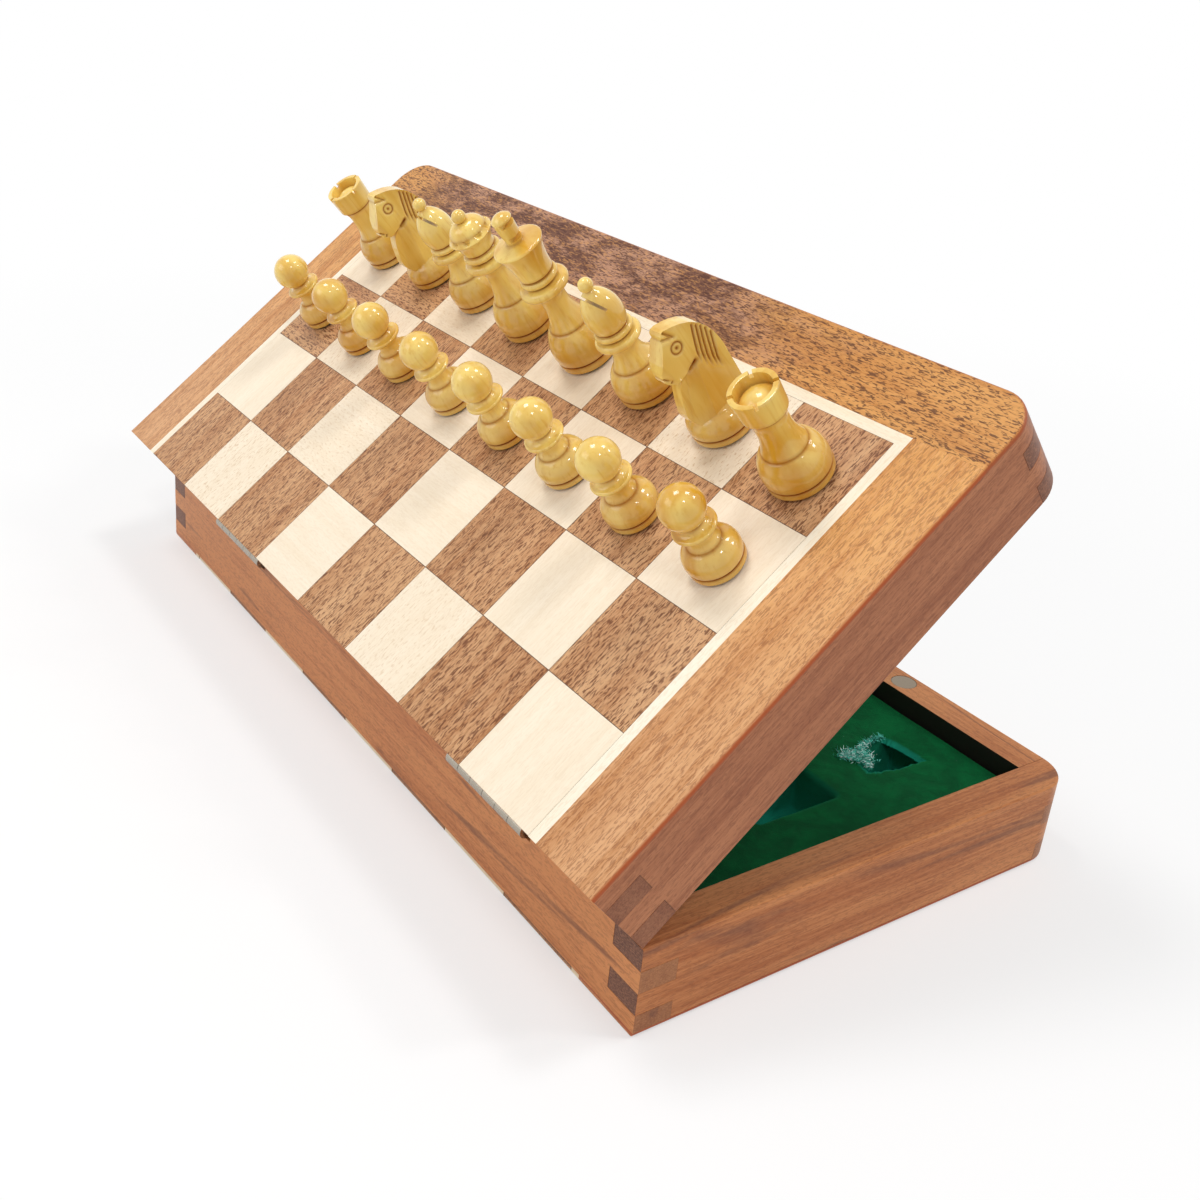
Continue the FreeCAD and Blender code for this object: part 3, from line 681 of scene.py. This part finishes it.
class Turning:
    """Half outline of a turned piece, radius and height in millimetres, and where it is darkened: lines scorched into
    it, and painted shade in its corners and hollows.
    """

    def __init__(self, height):
        self.points = [Vector((0.0, height))]
        self.burns = []

    @property
    def at(self):
        return self.points[-1]

    def line(self, radius, rise=0.0):
        self.points.append(Vector((radius, self.at.y + rise)))

    def arc(self, centre, sweep, end):
        spoke = self.at - centre
        steps = max(4, math.ceil(abs(sweep) / math.radians(7)), math.ceil(abs(sweep) * spoke.length / ARC_STEP))
        self.points += [centre + Matrix.Rotation(sweep * i / steps, 2) @ spoke for i in range(1, steps)]
        self.points.append(end)

    def bow(self, radius, rise, out):
        """An arc that stands out from its chord by the given amount."""
        end = Vector((radius, self.at.y + rise))
        chord = end - self.at
        across = Vector((chord.y, -chord.x)) / chord.length
        centre = (self.at + end) / 2 + across * (out / 2 - chord.length_squared / (8 * out))
        self.arc(centre, 4 * math.atan(2 * out / chord.length), end)

    def bead(self, radius, rise):
        self.bow(self.at.x, rise, radius - self.at.x)

    def cap(self, radius, height):
        """Ends the outline with part of a ball whose centre is on the axis."""
        centre = Vector((0, height))
        spoke = self.at - centre
        self.arc(centre, math.pi / 2 - math.atan2(spoke.y, spoke.x), Vector((0, height + radius)))

    def ball(self, radius, seat):
        self.cap(radius, self.at.y + math.sqrt(radius ** 2 - seat ** 2))

    def dome(self, rise):
        radius = (self.at.x ** 2 + rise ** 2) / (2 * rise)
        self.cap(radius, self.at.y + rise - radius)

    # Darkens the outline here: some marks are scorched lines, the rest painted shade in corners and hollows
    def burn(self, strength):
        self.burns.append((self.at.copy(), strength))

    def groove(self, radius, burn=0.92):
        self.line(radius - GROOVE_DEEP, GROOVE_WIDE / 2)
        self.burn(burn)
        self.line(radius, GROOVE_WIDE / 2)

    def collar(self, k):
        self.bow(k.collar - k.collar_rise / 2, k.flare_rise, -k.flare)
        # Painted shade under the collar
        self.burn(0.45)
        self.bead(k.collar, k.collar_rise)

    def collar_and_bead(self, k):
        self.collar(k)
        self.groove(k.bead - k.bead_rise / 2)
        self.bead(k.bead, k.bead_rise)

    def outline(self):
        """The points with each corner eased and each long run divided."""
        eased = [self.points[0]]
        for before, at, after in zip(self.points, self.points[1:], self.points[2:]):
            came, goes = at - before, after - at
            turn = came.angle(goes) if came.length > 1e-6 and goes.length > 1e-6 else 0
            if turn < math.radians(18):
                eased.append(at)
                continue
            cut = min(EASED, came.length * 0.4, goes.length * 0.4)
            start, end = at - came.normalized() * cut, at + goes.normalized() * cut
            eased += [start, start * 0.25 + at * 0.5 + end * 0.25, end]
        eased.append(self.points[-1])
        fine = [eased[0]]
        for a, b in zip(eased, eased[1:]):
            steps = max(1, math.ceil((b - a).length / LINE_STEP))
            fine += [a.lerp(b, i / steps) for i in range(1, steps + 1)]
        return fine

    def scorch_and_shade_at(self, point):
        return max((s * math.exp(-((point - p).length / SCORCH_AND_SHADE_SPREAD) ** 2) for p, s in self.burns), default=0.0)

    def mesh(self, name, around=96, shape=None):
        """The outline turned about its axis. shape may move a point, given its radius, height and angle."""
        verts, faces, burns, rings = [], [], [], []
        for p in self.outline():
            count = around if p.x > 1e-6 else 1
            rings.append(range(len(verts), len(verts) + count))
            burns += [self.scorch_and_shade_at(p)] * count
            for i in range(count):
                turn = 2 * math.pi * i / around
                r = shape(p.x, p.y, turn) if shape else p.x
                verts.append(Vector((r * math.cos(turn), r * math.sin(turn), p.y)))
        for low, high in zip(rings, rings[1:]):
            for i in range(around):
                j = (i + 1) % around
                if len(low) == 1:
                    faces.append((low[0], high[j], high[i]))
                elif len(high) == 1:
                    faces.append((low[i], low[j], high[0]))
                else:
                    faces.append((low[i], low[j], high[j], high[i]))
        return mesh_of(name, verts, faces, burn=burns)


def carved(mesh, cutters, burn):
    """The mesh with blocks cut from it. Each cutter is its size and its place, in millimetres; the cut faces are
    darkened as given, scorch and painted shade in the cut.
    """
    settings = []
    for size, place in cutters:
        block = boxes("cutter", [(Vector(size) / -2, Vector(size) / 2)])
        block.transform(place)
        mark(block, "burn", burn)
        settings.append(("BOOLEAN", dict(operation="DIFFERENCE", solver="EXACT", object=placed("cutter", block))))
    made = modified(mesh, *settings)
    for kind, values in settings:
        bpy.data.objects.remove(values["object"])
    return made


def quarter_bow(radius):
    """How far a quarter circle bows out from its chord."""
    return radius * (1 - math.sqrt(0.5))


def foot(k):
    p = Turning(FELT_THICK)
    p.line(k.foot - FOOT_ROUND)
    # Painted shade along the foot's lower edge, just above the felt
    p.burn(0.9)
    p.bow(k.foot, FOOT_ROUND, quarter_bow(FOOT_ROUND))
    p.line(k.foot, k.foot_rise - FOOT_ROUND)
    p.groove(k.foot, 1.0)
    return p


def stem(k):
    p = foot(k)
    p.bow(k.ring, k.bulb_rise, k.belly)
    p.line(k.ring - RING_LIP, RING_LIP / 2)
    # Painted shade in the corner inside the ring's lip
    p.burn(0.6)
    p.line(k.ring - RING_LIP, RING_LIP / 2)
    p.bow(k.neck, k.stem_rise, -k.waist)
    return p


def pawn_mesh(k):
    p = stem(k)
    p.collar(k)
    p.bow(k.throat, k.throat_rise, -k.flare)
    # Painted shade in the throat under the ball
    p.burn(0.6)
    p.ball(k.ball, k.throat)
    return p.mesh("pawn")


def rook_mesh(k):
    p = stem(k)
    p.bow(k.crown - GROOVE_DEEP, k.flare_rise, -k.flare)
    p.burn(0.9)
    p.line(k.crown, GROOVE_WIDE / 2)
    p.line(k.rim, k.crown_rise)
    level = shift(0, 0, p.at.y)
    p.line(k.well)
    p.line(k.well, -k.well_depth)
    # Painted shade on the floor of the well; the notches below get a little too
    p.burn(0.2)
    p.dome(k.dome_rise)
    wide, long, deep = k.notch_width, 3 * k.rim, 2 * k.notch_depth
    return carved(p.mesh("rook"), [((wide, long, deep), level), ((long, wide, deep), level)], 0.2)


def bishop_mesh(k):
    p = stem(k)
    p.collar_and_bead(k)
    p.groove(k.mitre)
    seat = p.at.y
    p.bow(k.tip, k.mitre_rise, k.mitre_bow)
    p.burn(0.2)
    p.ball(k.ball, k.tip)
    reach = 2 * k.mitre
    kerf = shift(0, -k.slot_set, seat + k.slot_rise) @ turned(k.slot_lean, "X") @ shift(0, 0, reach / 2)
    # The mitre's slot is darkened fully: scorch and painted shade deep in the cut
    return carved(p.mesh("bishop"), [((2 * reach, k.slot_width, reach), kerf)], 1.0)


def queen_mesh(k):
    p = stem(k)
    p.collar_and_bead(k)
    p.groove(k.cup)
    p.bow(k.rim, k.cup_rise, -k.cup_bow)
    rim = p.at.y
    steps = 8
    for i in range(1, steps + 1):
        p.line(k.rim + (k.shoulder - k.rim) * i / steps, k.rim_rise / steps)
    p.burn(0.35)
    p.bow(k.tip, k.dome_rise, quarter_bow(k.dome_rise))
    p.burn(0.2)
    p.ball(k.ball, k.tip)

    def scalloped(r, z, turn):
        if not rim + 0.1 < z < rim + k.rim_rise + 0.05:
            return r
        step = 2 * math.pi / k.scallops
        off = abs((turn + step / 2) % step - step / 2) * k.rim
        side = math.sqrt(max(0.0, k.scallop ** 2 - (rim + k.rim_rise - z) ** 2))
        return r + (min(r, k.shoulder - 0.5) - r) * min(1.0, max(0.0, (side - off) / 0.3))

    return p.mesh("queen", 216, scalloped)


def king_mesh(k):
    p = stem(k)
    p.collar_and_bead(k)
    p.groove(k.cup)
    p.bow(k.rim, k.cup_rise, -k.cup_bow)
    p.line(k.rim - k.rim_rise, k.rim_rise)
    p.line(k.finial, k.dish_rise)
    p.burn(0.35)
    seat = p.at.y
    p.line(k.cap, k.finial_rise)
    p.dome(k.cap_rise)
    cutters = []
    for level in (0, 1):
        middle = seat + k.cut_rise + level * k.cut_pitch
        for side in (-1, 1):
            out = side * (k.finial - k.cut_depth + k.cap)
            cutters.append(((2 * k.cap, 3 * k.cap, k.cut_width), shift(out, 0, middle)))
    # The finial's cuts are darkened as painted shade in the notches
    return carved(p.mesh("king"), cutters, 0.86)


def near(p, line):
    """Distance to a line, and how far along it the nearest place is."""
    best, along, run = 1e9, 0.0, 0.0
    line = [Vector(q) for q in line]
    total = sum((b - a).length for a, b in zip(line, line[1:]))
    for a, b in zip(line, line[1:]):
        d = b - a
        t = min(1.0, max(0.0, (p - a).dot(d) / d.length_squared))
        gap = (p - a - d * t).length
        if gap < best:
            best, along = gap, (run + t * d.length) / total
        run += d.length
    return best, along


def knight_cut(k, p):
    """How far the side of the head is cut in at a place, and how dark the cut is: scorched lines, and painted shade
    in the cuts.
    """
    deep, dark = 0.0, 0.0
    for line, wide, down, burn, fades in KNIGHT_CUTS:
        gap, along = near(p, line)
        if gap < 3 * wide:
            fade = min(1.0, (1 - along) * 4) if fades else 1.0
            deep = max(deep, down * math.exp(-(gap / wide) ** 2) * fade)
            dark = max(dark, burn * math.exp(-(gap / (wide * 0.75)) ** 2) * fade)
    out = (p - Vector(k.eye)).length
    ring = math.exp(-(abs(out - k.eye_ring) / k.eye_line) ** 2)
    pupil = math.exp(-(out / k.pupil) ** 2)
    return max(deep, k.eye_deep * ring, k.eye_deep * pupil), max(dark, 0.9 * ring, pupil)


def knight_thickness(k, p):
    """Half the head's thickness at a place: a wedge from root to top, thinned to the chest and to the nose."""
    taper = k.thick_low + (k.thick_high - k.thick_low) * (p.y - k.low) / (k.high - k.low)
    if p.y < k.jaw_rise - (k.jaw_at - p.x) * k.jaw_slope:
        past_chest = max(0.0, p.y * k.chest_lean + k.chest_at - p.x)
        face = max(k.chest, taper - past_chest * k.chest_slope)
    else:
        face = k.nose + max(0.0, p.x - k.nose_at) * k.nose_slope
    if p.y <= k.tenon_top:
        return min(taper, face, k.tenon)
    flare = k.flare * math.exp(-max(0.0, p.y) / k.flare_rise)
    blank = math.sqrt(max(0.0, k.blank ** 2 - p.x ** 2))
    return min(taper + flare, blank, face)


def knight_head(k, root):
    """The horse's head: flat sides that taper upwards, with the face, the eye, the mane and the jaw cut into them."""
    loop = []
    for (y0, z0), (y1, z1) in sides(KNIGHT_OUTLINE):
        steps = max(1, math.ceil(math.hypot(y1 - y0, z1 - z0) / 0.4))
        loop += [Vector((y0 + (y1 - y0) * i / steps, z0 + (z1 - z0) * i / steps)) for i in range(steps)]

    def inside(p):
        hit = False
        for a, b in sides(loop):
            if (a.y > p.y) != (b.y > p.y) and p.x < a.x + (b.x - a.x) * (p.y - a.y) / (b.y - a.y):
                hit = not hit
        return hit

    spacing, reach = 0.3, 40
    points = [p.copy() for p in loop]
    for i in range(int(reach / spacing)):
        for j in range(int(reach / spacing)):
            p = Vector((-10 + i * spacing + (spacing / 2 if j % 2 else 0), -2 + j * spacing))
            if inside(p) and min((p - q).length_squared for q in loop) > (0.6 * spacing) ** 2:
                points.append(p)
    border = list(range(len(loop)))
    flat, _, triangles, *_ = delaunay_2d_cdt(points, sides(border), [border], 1, 1e-6)
    verts, faces, burns = [], [], []
    for side in (1, -1):
        for p in flat:
            deep, dark = knight_cut(k, p)
            verts.append(Vector((side * (knight_thickness(k, p) - deep), p.x, root + p.y)))
            burns.append(dark)
    count = len(flat)
    for face in triangles:
        faces.append(tuple(face))
        faces.append(tuple(count + i for i in reversed(face)))
    edges = [edge for face in triangles for edge in sides(face)]
    shared = set(edges)
    faces += [(b, a, count + a, count + b) for a, b in edges if (b, a) not in shared]
    return mesh_of("knight_head", verts, faces, burn=burns)


def knight_mesh(k):
    p = foot(k)
    p.bow(k.shoulder, k.shoulder_rise, k.belly)
    root = p.at.y
    p.bow(k.shoulder - k.lip, k.lip_rise, k.lip_bow)
    p.line(0)
    bm = bmesh.new()
    bm.from_mesh(p.mesh("knight_foot"))
    bm.from_mesh(knight_head(k, root))
    return written(bm, bpy.data.meshes.new("knight"))


SHAPES = {"pawn": (pawn_mesh, pawn), "rook": (rook_mesh, rook), "bishop": (bishop_mesh, bishop),
          "queen": (queen_mesh, queen), "king": (king_mesh, king), "knight": (knight_mesh, knight)}
bodies = {}
for kind, (make, sizes) in SHAPES.items():
    wooden = make(sizes)
    wooden.shade_smooth()
    wooden.set_sharp_from_angle(angle=math.radians(38))
    pad = Turning(0.0)
    pad.line(sizes.foot - FELT_INSET)
    pad.line(sizes.foot - FELT_INSET, FELT_THICK)
    pad.line(0)
    bodies[kind] = (wooden, pad.mesh(kind + "_felt", 64))


def man(name, kind, material, body, node, place, slot, tone=0.5):
    """One chessman: its wood, pale or deep in tone, and the felt under it."""
    wooden, felt = (mesh.copy() for mesh in bodies[kind])
    mark(wooden, "tone", tone)
    show(name + "_wood", wooden, material, body, slot, [node], place)
    show(name + "_felt", felt, FELT, body, "green_velvet", place=place)


# The light men of each rank, by file: how far each stands off the middle of its square, its turn and its tone
BACK_RANK = {
    "rook_1": (-0.1, 1.1, 4, 0.75), "knight_1": (0.0, 2.4, 0, 0.75), "bishop_1": (-0.3, 2.4, 0, 0.8),
    "queen": (-0.6, 1.4, 0, 0.65), "king": (-0.2, 1.4, 20, 0.45), "bishop_2": (-0.6, 0.4, 0, 0.75),
    "knight_2": (0.0, 0.7, 0, 0.68), "rook_2": (0.9, -2.2, 52, 0.5),
}
PAWN_RANK = {
    "pawn_1": (-0.9, -0.4, 0, 0.55), "pawn_2": (-0.1, -0.9, 0, 0.45), "pawn_3": (-1.5, -1.0, 0, 0.9),
    "pawn_4": (-0.3, -1.3, 0, 0.8), "pawn_5": (-0.5, -1.1, 0, 0.7), "pawn_6": (-0.5, -1.3, 0, 0.9),
    "pawn_7": (-0.6, -1.5, 0, 0.7), "pawn_8": (1.0, -0.9, 0, 0.45),
}
for j, rank in ((3, BACK_RANK), (2, PAWN_RANK)):
    for i, (which, (off_x, off_y, turn, tone)) in enumerate(rank.items()):
        spot = shift((i + 0.5) * SQUARE - BOARD_HALF + off_x, (j + 0.5) * SQUARE + off_y, SEAT_GAP)
        name = "light_" + which
        man(name, which.split("_")[0], BOXWOOD, name, name, BOARD @ spot @ turned(turn, "Z"), "boxwood_men", tone)

# The men that lie in each column of slots, and the length of each kind
STOWAGE = [
    ["pawn", "pawn", "pawn"],
    ["pawn", "pawn", "rook"],
    ["king", "queen"],
    ["bishop", "bishop"],
    ["knight", "knight", "rook"],
    ["pawn", "pawn", "pawn"],
]
LYING = {"pawn": 28.21, "rook": 32.10, "bishop": 42.66, "queen": 47.71, "king": 55.70, "knight": 38.60}
COLUMN_INSET = 27.8
SLOT_CLEARANCE = 0.3
SLOT_CORNER = 1.2


def slots():
    """Each slot: the kind of man that lies in it, its middle line, its near and far ends and half its width."""
    first = COLUMN_INSET - INNER_HALF
    pitch = -2 * first / (len(STOWAGE) - 1)
    for i, column in enumerate(STOWAGE):
        long = [LYING[kind] + 2 * SLOT_CLEARANCE for kind in column]
        space = (WIDTH - 2 * WALL - sum(long)) / (len(column) + 1)
        near_end = WALL + space
        for kind, reach in zip(column, long):
            yield kind, first + i * pitch, near_end, near_end + reach, SHAPES[kind][1].foot + SLOT_CLEARANCE
            near_end += reach + space


LAID = turned(-90, "X") @ turned(90, "Z")
for n, (kind, x, near_end, far_end, side) in enumerate(slots()):
    spot = shift(x, near_end + SLOT_CLEARANCE, PANEL_TOP + SEAT_GAP + side - SLOT_CLEARANCE)
    node = f"dark_{kind}" if kind in ("queen", "king") else f"dark_{kind}s"
    man(f"dark_{kind}_{n}", kind, ROSEWOOD, "lid", node, LID @ spot @ LAID, "rosewood_men")


# Velvet inserts

ROLL = 1.9
ROLL_STEPS = 6
PAD_RISE = 0.5
LINING_SET = -0.15
FLAP_RISE = 0.54


def divided(loop, step):
    """A closed loop with more points along it, about a step apart."""
    fine = []
    for a, b in sides(loop):
        count = max(1, round((b - a).length / step))
        fine += [a.lerp(b, i / count) for i in range(count)]
    return fine


def rounded_slot(x, near_end, far_end, side, grow):
    """Points round a slot's edge, grown outwards by the given amount."""
    points = []
    left, right = x - side + SLOT_CORNER, x + side - SLOT_CORNER
    low, high = near_end + SLOT_CORNER, far_end - SLOT_CORNER
    r = SLOT_CORNER + grow
    for cx, cy, start in ((right, high, 0), (left, high, 90), (left, low, 180), (right, low, 270)):
        for i in range(7):
            t = math.radians(start + 15 * i)
            points.append(Vector((cx + r * math.cos(t), cy + r * math.sin(t))))
    return divided(points, 1.6)


def swell(p, shifted=Vector((0, 0, 0))):
    """How far the padded velvet stands above its mean level at a place."""
    soft = noise.noise(Vector((p.x / 16, p.y / 16, 0)) + shifted) * 0.45
    return soft + noise.noise(Vector((p.x / 5, p.y / 5, 3)) + shifted) * 0.16


def insert_mesh(name, seed):
    """The insert: a padded top, every slot's mouth rolled over, and the lining that goes down into it."""
    top = INSERT_TOP + PAD_RISE
    x1, y0, y1 = INNER_HALF - INSERT_GAP, WALL + INSERT_GAP, WIDTH - WALL - INSERT_GAP
    corners = [Vector((-x1, y0)), Vector((x1, y0)), Vector((x1, y1)), Vector((-x1, y1))]
    holes = [slot[1:] for slot in slots()]
    shifted = Vector((seed * 31.0, seed * 17.0, 0))
    verts, faces, worn = [], [], []

    def add(p, z, painted_light=0.0):
        verts.append(Vector((p.x, p.y, z)))
        worn.append(painted_light)
        return len(verts) - 1

    def rolled(edge, painted_light):
        """Rings of points where an edge rolls over into the top. edge gives its points, moved by an amount."""
        rings = []
        for i in range(ROLL_STEPS):
            t = math.radians(18 * i)
            level, worn_here = top - ROLL + ROLL * math.sin(t), painted_light * (1 - i / 5)
            points = edge(ROLL * (1 - math.cos(t)))
            rings.append([add(p, level + swell(p, shifted) * i / ROLL_STEPS, worn_here) for p in points])
        return rings

    def stack(loops):
        """Joins rings of as many points each."""
        for low, high in zip(loops, loops[1:]):
            faces.extend((a, b, d, c) for (a, b), (c, d) in zip(sides(low), sides(high)))

    def outer_edge(inset):
        return [Vector((p.x * (1 - inset / x1), min(max(p.y, y0 + inset), y1 - inset)))
                for p in divided(corners, 2.0)]

    def within(p, hole, grow):
        x, near_end, far_end, side = hole
        return abs(p.x - x) < side + grow and near_end - grow < p.y < far_end + grow

    mouths = []
    for hole in holes:
        # Each slot's inside is marked for painted light, fading up its walls and over its rolled mouth
        loops = [[add(p, PANEL_TOP + 0.25, 1.0) for p in rounded_slot(*hole, -0.2)]]
        faces.append(tuple(loops[0]))
        for share in (0.15, 0.45, 0.75):
            z = PANEL_TOP + (top - ROLL - PANEL_TOP) * share
            loops.append([add(p, z, 1.0 - 0.6 * share) for p in rounded_slot(*hole, LINING_SET)])
        loops += rolled(lambda grow: rounded_slot(*hole, LINING_SET + grow), 0.4)
        stack(loops)
        mouths.append(loops[-1])
    outer = [[add(p, z) for p in outer_edge(0.0)] for z in (PANEL_TOP, PANEL_TOP + 6)]
    outer += rolled(outer_edge, 0.0)
    stack(outer)
    faces.append(tuple(reversed(outer[0])))

    points, ring_edges, index = [], [], []
    for loop in [outer[-1]] + [mouth[::-1] for mouth in mouths]:
        ring_edges += sides(list(range(len(points), len(points) + len(loop))))
        points += [verts[i].xy for i in loop]
        index += loop
    step = 2.2
    clear = ROLL + 1.0
    for i in range(int(2 * x1 / step)):
        for j in range(int((y1 - y0) / step)):
            p = Vector((-x1 + (i + 0.5 + 0.5 * (j % 2)) * step, y0 + (j + 0.5) * step))
            at_edge = min(x1 - abs(p.x), p.y - y0, y1 - p.y) < clear
            if not at_edge and not any(within(p, hole, clear) for hole in holes):
                index.append(add(p, top + swell(p, shifted)))
                points.append(p)
    made, _, triangles, originals, *_ = delaunay_2d_cdt(points, ring_edges, [], 0, 1e-5)
    round_mouths = set().union(*mouths)
    for face in triangles:
        centre = sum((made[i] for i in face), Vector((0, 0))) / len(face)
        face = [index[originals[i][0]] for i in face]
        if not (round_mouths.issuperset(face) and any(within(centre, hole, ROLL - 0.4) for hole in holes)):
            faces.append(tuple(face))
    mesh = mesh_of(name, verts, faces, worn=worn)
    bm = bmesh.new()
    bm.from_mesh(mesh)
    bmesh.ops.recalc_face_normals(bm, faces=bm.faces)
    written(bm, mesh)
    mesh.shade_smooth()
    return mesh


for seed, half in enumerate(HALVES):
    mesh = insert_mesh(half + "_velvet", seed)
    mesh.transform(PLACES[half])
    pad = show(half + "_velvet", mesh, VELVET, half, "green_velvet", [half + "_foam_insert"])

# The hole torn in the velvet over one slot, from the middle of the half's width
TEAR = [(105.7, 48.2), (105.6, 43.0), (106.7, 37.5), (111.0, 35.0), (116.1, 32.6), (118.6, 40.0), (119.6, 50.4),
        (112.0, 49.8)]
hole = [Vector((x, y + WIDTH / 2)) for x, y in TEAR]


def torn_mouth(name, slot):
    """Velvet that still hangs over one slot, round the hole torn in it."""
    middle = sum(hole, Vector((0, 0))) / len(hole)
    outer = rounded_slot(*slot, 2.0)
    verts, worn, faces = [], [], []
    rings = 8
    for q in outer:
        away = (q - middle).normalized()
        hits = [intersect_line_line_2d(middle, middle + away * WIDTH, a, b) for a, b in sides(hole)]
        reach = max((hit - middle).length for hit in hits if hit)
        ragged = noise.noise(Vector((q.x * 0.9, q.y * 0.9, 7.0)))
        ragged += 0.5 * noise.noise(Vector((q.x * 2.7, q.y * 2.7, 2.0)))
        lip = middle + away * (reach * (1 + 0.09 * ragged))
        for i in range(rings):
            t = i / (rings - 1)
            spot = q.lerp(lip, t)
            sag = 0.9 * t ** 2 + (0.9 if i == rings - 1 else 0.0) + 0.25 * t * ragged
            verts.append(Vector((spot.x, spot.y, INSERT_TOP + FLAP_RISE + swell(spot) * (1 - 0.5 * t) - sag)))
            # The last rings are the frayed pile along the torn lip
            worn.append(0.0 if i < rings - 2 else 0.5 * (i - rings + 3))
    for i, j in sides(list(range(0, len(verts), rings))):
        faces += [(i + k, j + k, j + k + 1, i + k + 1) for k in range(rings - 1)]
    mesh = mesh_of(name, verts, faces, worn=worn)
    mesh.shade_smooth()
    return mesh


def fibres(name, path, count, spread, longest):
    """Frayed fibres along a path: thin bent blades that lie over its edge."""
    chance = random.Random(name)
    verts, faces = [], []
    for _ in range(count):
        i = chance.choices(range(len(path) - 1), [(b - a).length for a, b in zip(path, path[1:])])[0]
        root = path[i].lerp(path[i + 1], chance.random())
        root = Vector((root.x + chance.gauss(0, spread), root.y + chance.gauss(0, spread),
                       INSERT_TOP + 0.3 + abs(chance.gauss(0, 0.5))))
        turn = chance.uniform(0, 2 * math.pi)
        way = Vector((math.cos(turn), math.sin(turn), chance.uniform(-0.6, 0.5))).normalized()
        across = way.cross(Vector((chance.gauss(0, 1), chance.gauss(0, 1), 1))).normalized()
        long, wide = chance.uniform(0.3, 1.0) * longest, chance.uniform(0.15, 0.5)
        bend = Vector((chance.gauss(0, 0.3), chance.gauss(0, 0.3), chance.gauss(0.1, 0.3)))
        start = len(verts)
        for t in (0.0, 0.5, 1.0):
            spot = root + way * (long * t) + bend * t * t
            half_wide = across * (wide / 2 * (1 - 0.7 * t))
            verts += [spot - half_wide, spot + half_wide]
        faces += [(start, start + 1, start + 3, start + 2), (start + 2, start + 3, start + 5, start + 4)]
    return mesh_of(name, verts, faces)


kind, *torn = list(slots())[-1]
mesh = torn_mouth("base_torn_velvet", torn)
mesh.transform(BASE)
show("base_torn_velvet", mesh, VELVET, "base", "green_velvet")
tuft = [hole[3] + Vector((0.5, 1.0)), hole[3] + Vector((-3.2, -4.6))]
for name, path, count, spread, longest, material in (
        ("base_frayed_pile", hole[:5], 420, 0.5, 1.7, FRAYED),
        ("base_torn_fuzz", hole[1:5], 160, 0.5, 1.5, FUZZ),
        ("base_torn_tuft", tuft, 420, 1.2, 1.5, FUZZ),
        ("base_torn_pile", tuft, 520, 1.6, 1.8, FRAYED)):
    mesh = fibres(name, path, count, spread, longest)
    mesh.transform(BASE)
    show(name, mesh, material, "base", "green_velvet")


# Stage, lights and camera. The lamps' places and sizes are in metres.

FLOOR_REACH = 12000
FLOOR_DROP = 0.0002
WHITE = (255, 255, 255)


def stage_material():
    """A white floor that keeps the shadow near the object and is plain white far from it."""
    g = Graph("studio_floor")
    away = g.span(g.vector("LENGTH", g.coordinates()), 0.18, 0.6, 0.5, 1.0)
    paper = g.node("BsdfPrincipled", {"Base Color": (0.93, 0.93, 0.93, 1), "Roughness": 0.9,
                                      "Specular IOR Level": 0.1})
    glow = g.node("Emission")
    return g.finish(g.either(g.times(g.seen(), away), paper.outputs[0], glow.outputs[0]))


def studio():
    """Soft white light all round, and plain white where it is seen."""
    g = Graph("studio", "World")
    soft, white = (g.node("Background", {"Color": WHITE, "Strength": s}).outputs[0] for s in (0.4, 1.0))
    return g.finish(g.either(g.seen(), soft, white))


floor_corners = [Vector((x, y, 0)) * FLOOR_REACH for x, y in ((-1, -1), (1, -1), (1, 1), (-1, 1))]
floor = placed("floor", mesh_of("floor", floor_corners, [(0, 1, 2, 3)]))
floor.data.materials.append(stage_material())
floor.location.z = -FLOOR_DROP
bpy.context.scene.world = studio()

# Each lamp: its place, its size and its power
AIM = Vector((0, 0, 0.05))
LAMPS = {
    "key": ((-0.4, -0.5, 1.45), (0.44, 0.44), 7.4),
    "top": ((0.25, 0.3, 1.5), (0.3, 0.3), 5),
    "back": ((0.7, 0.75, 1.2), (0.2, 0.2), 3),
    "front": ((-0.6, -1.7, 0.75), (1.2, 0.8), 6),
    "side": ((0.95, -0.55, 1.2), (0.16, 0.16), 2.5),
}
for name, (place, size, power) in LAMPS.items():
    data = bpy.data.lights.new(name, "AREA")
    data.shape = "RECTANGLE"
    data.size, data.size_y = size
    data.energy = power
    light = placed(name, data)
    light.location = place
    light.rotation_euler = (AIM - Vector(place)).to_track_quat("-Z", "Y").to_euler()

# The camera as fitted to the photo: its focal length and centre in the photo's pixels, its place and its axes
PHOTO = 1200
FOCAL = 1410.01
CENTRE = (560, 500)
SENSOR = 36.0
EYE = (342.63, -246.13, 238.69)
RIGHT = Vector((0.550068, 0.83094, 0.083452))
DOWN = Vector((0.365299, -0.149545, -0.9188))
FORWARD = Vector((-0.750988, 0.535887, -0.385801))
camera_data = bpy.data.cameras.new("camera")
camera_data.sensor_width = SENSOR
camera_data.lens = FOCAL / PHOTO * SENSOR
camera_data.shift_x = (PHOTO / 2 - CENTRE[0]) / PHOTO
camera_data.shift_y = (CENTRE[1] - PHOTO / 2) / PHOTO
camera_data.clip_end = 100
camera = placed("camera", camera_data)
camera.matrix_world = shift(*EYE) @ Matrix((RIGHT, -DOWN, -FORWARD)).transposed().to_4x4()
bpy.context.scene.camera = camera
bpy.context.scene.view_settings.view_transform = "Standard"
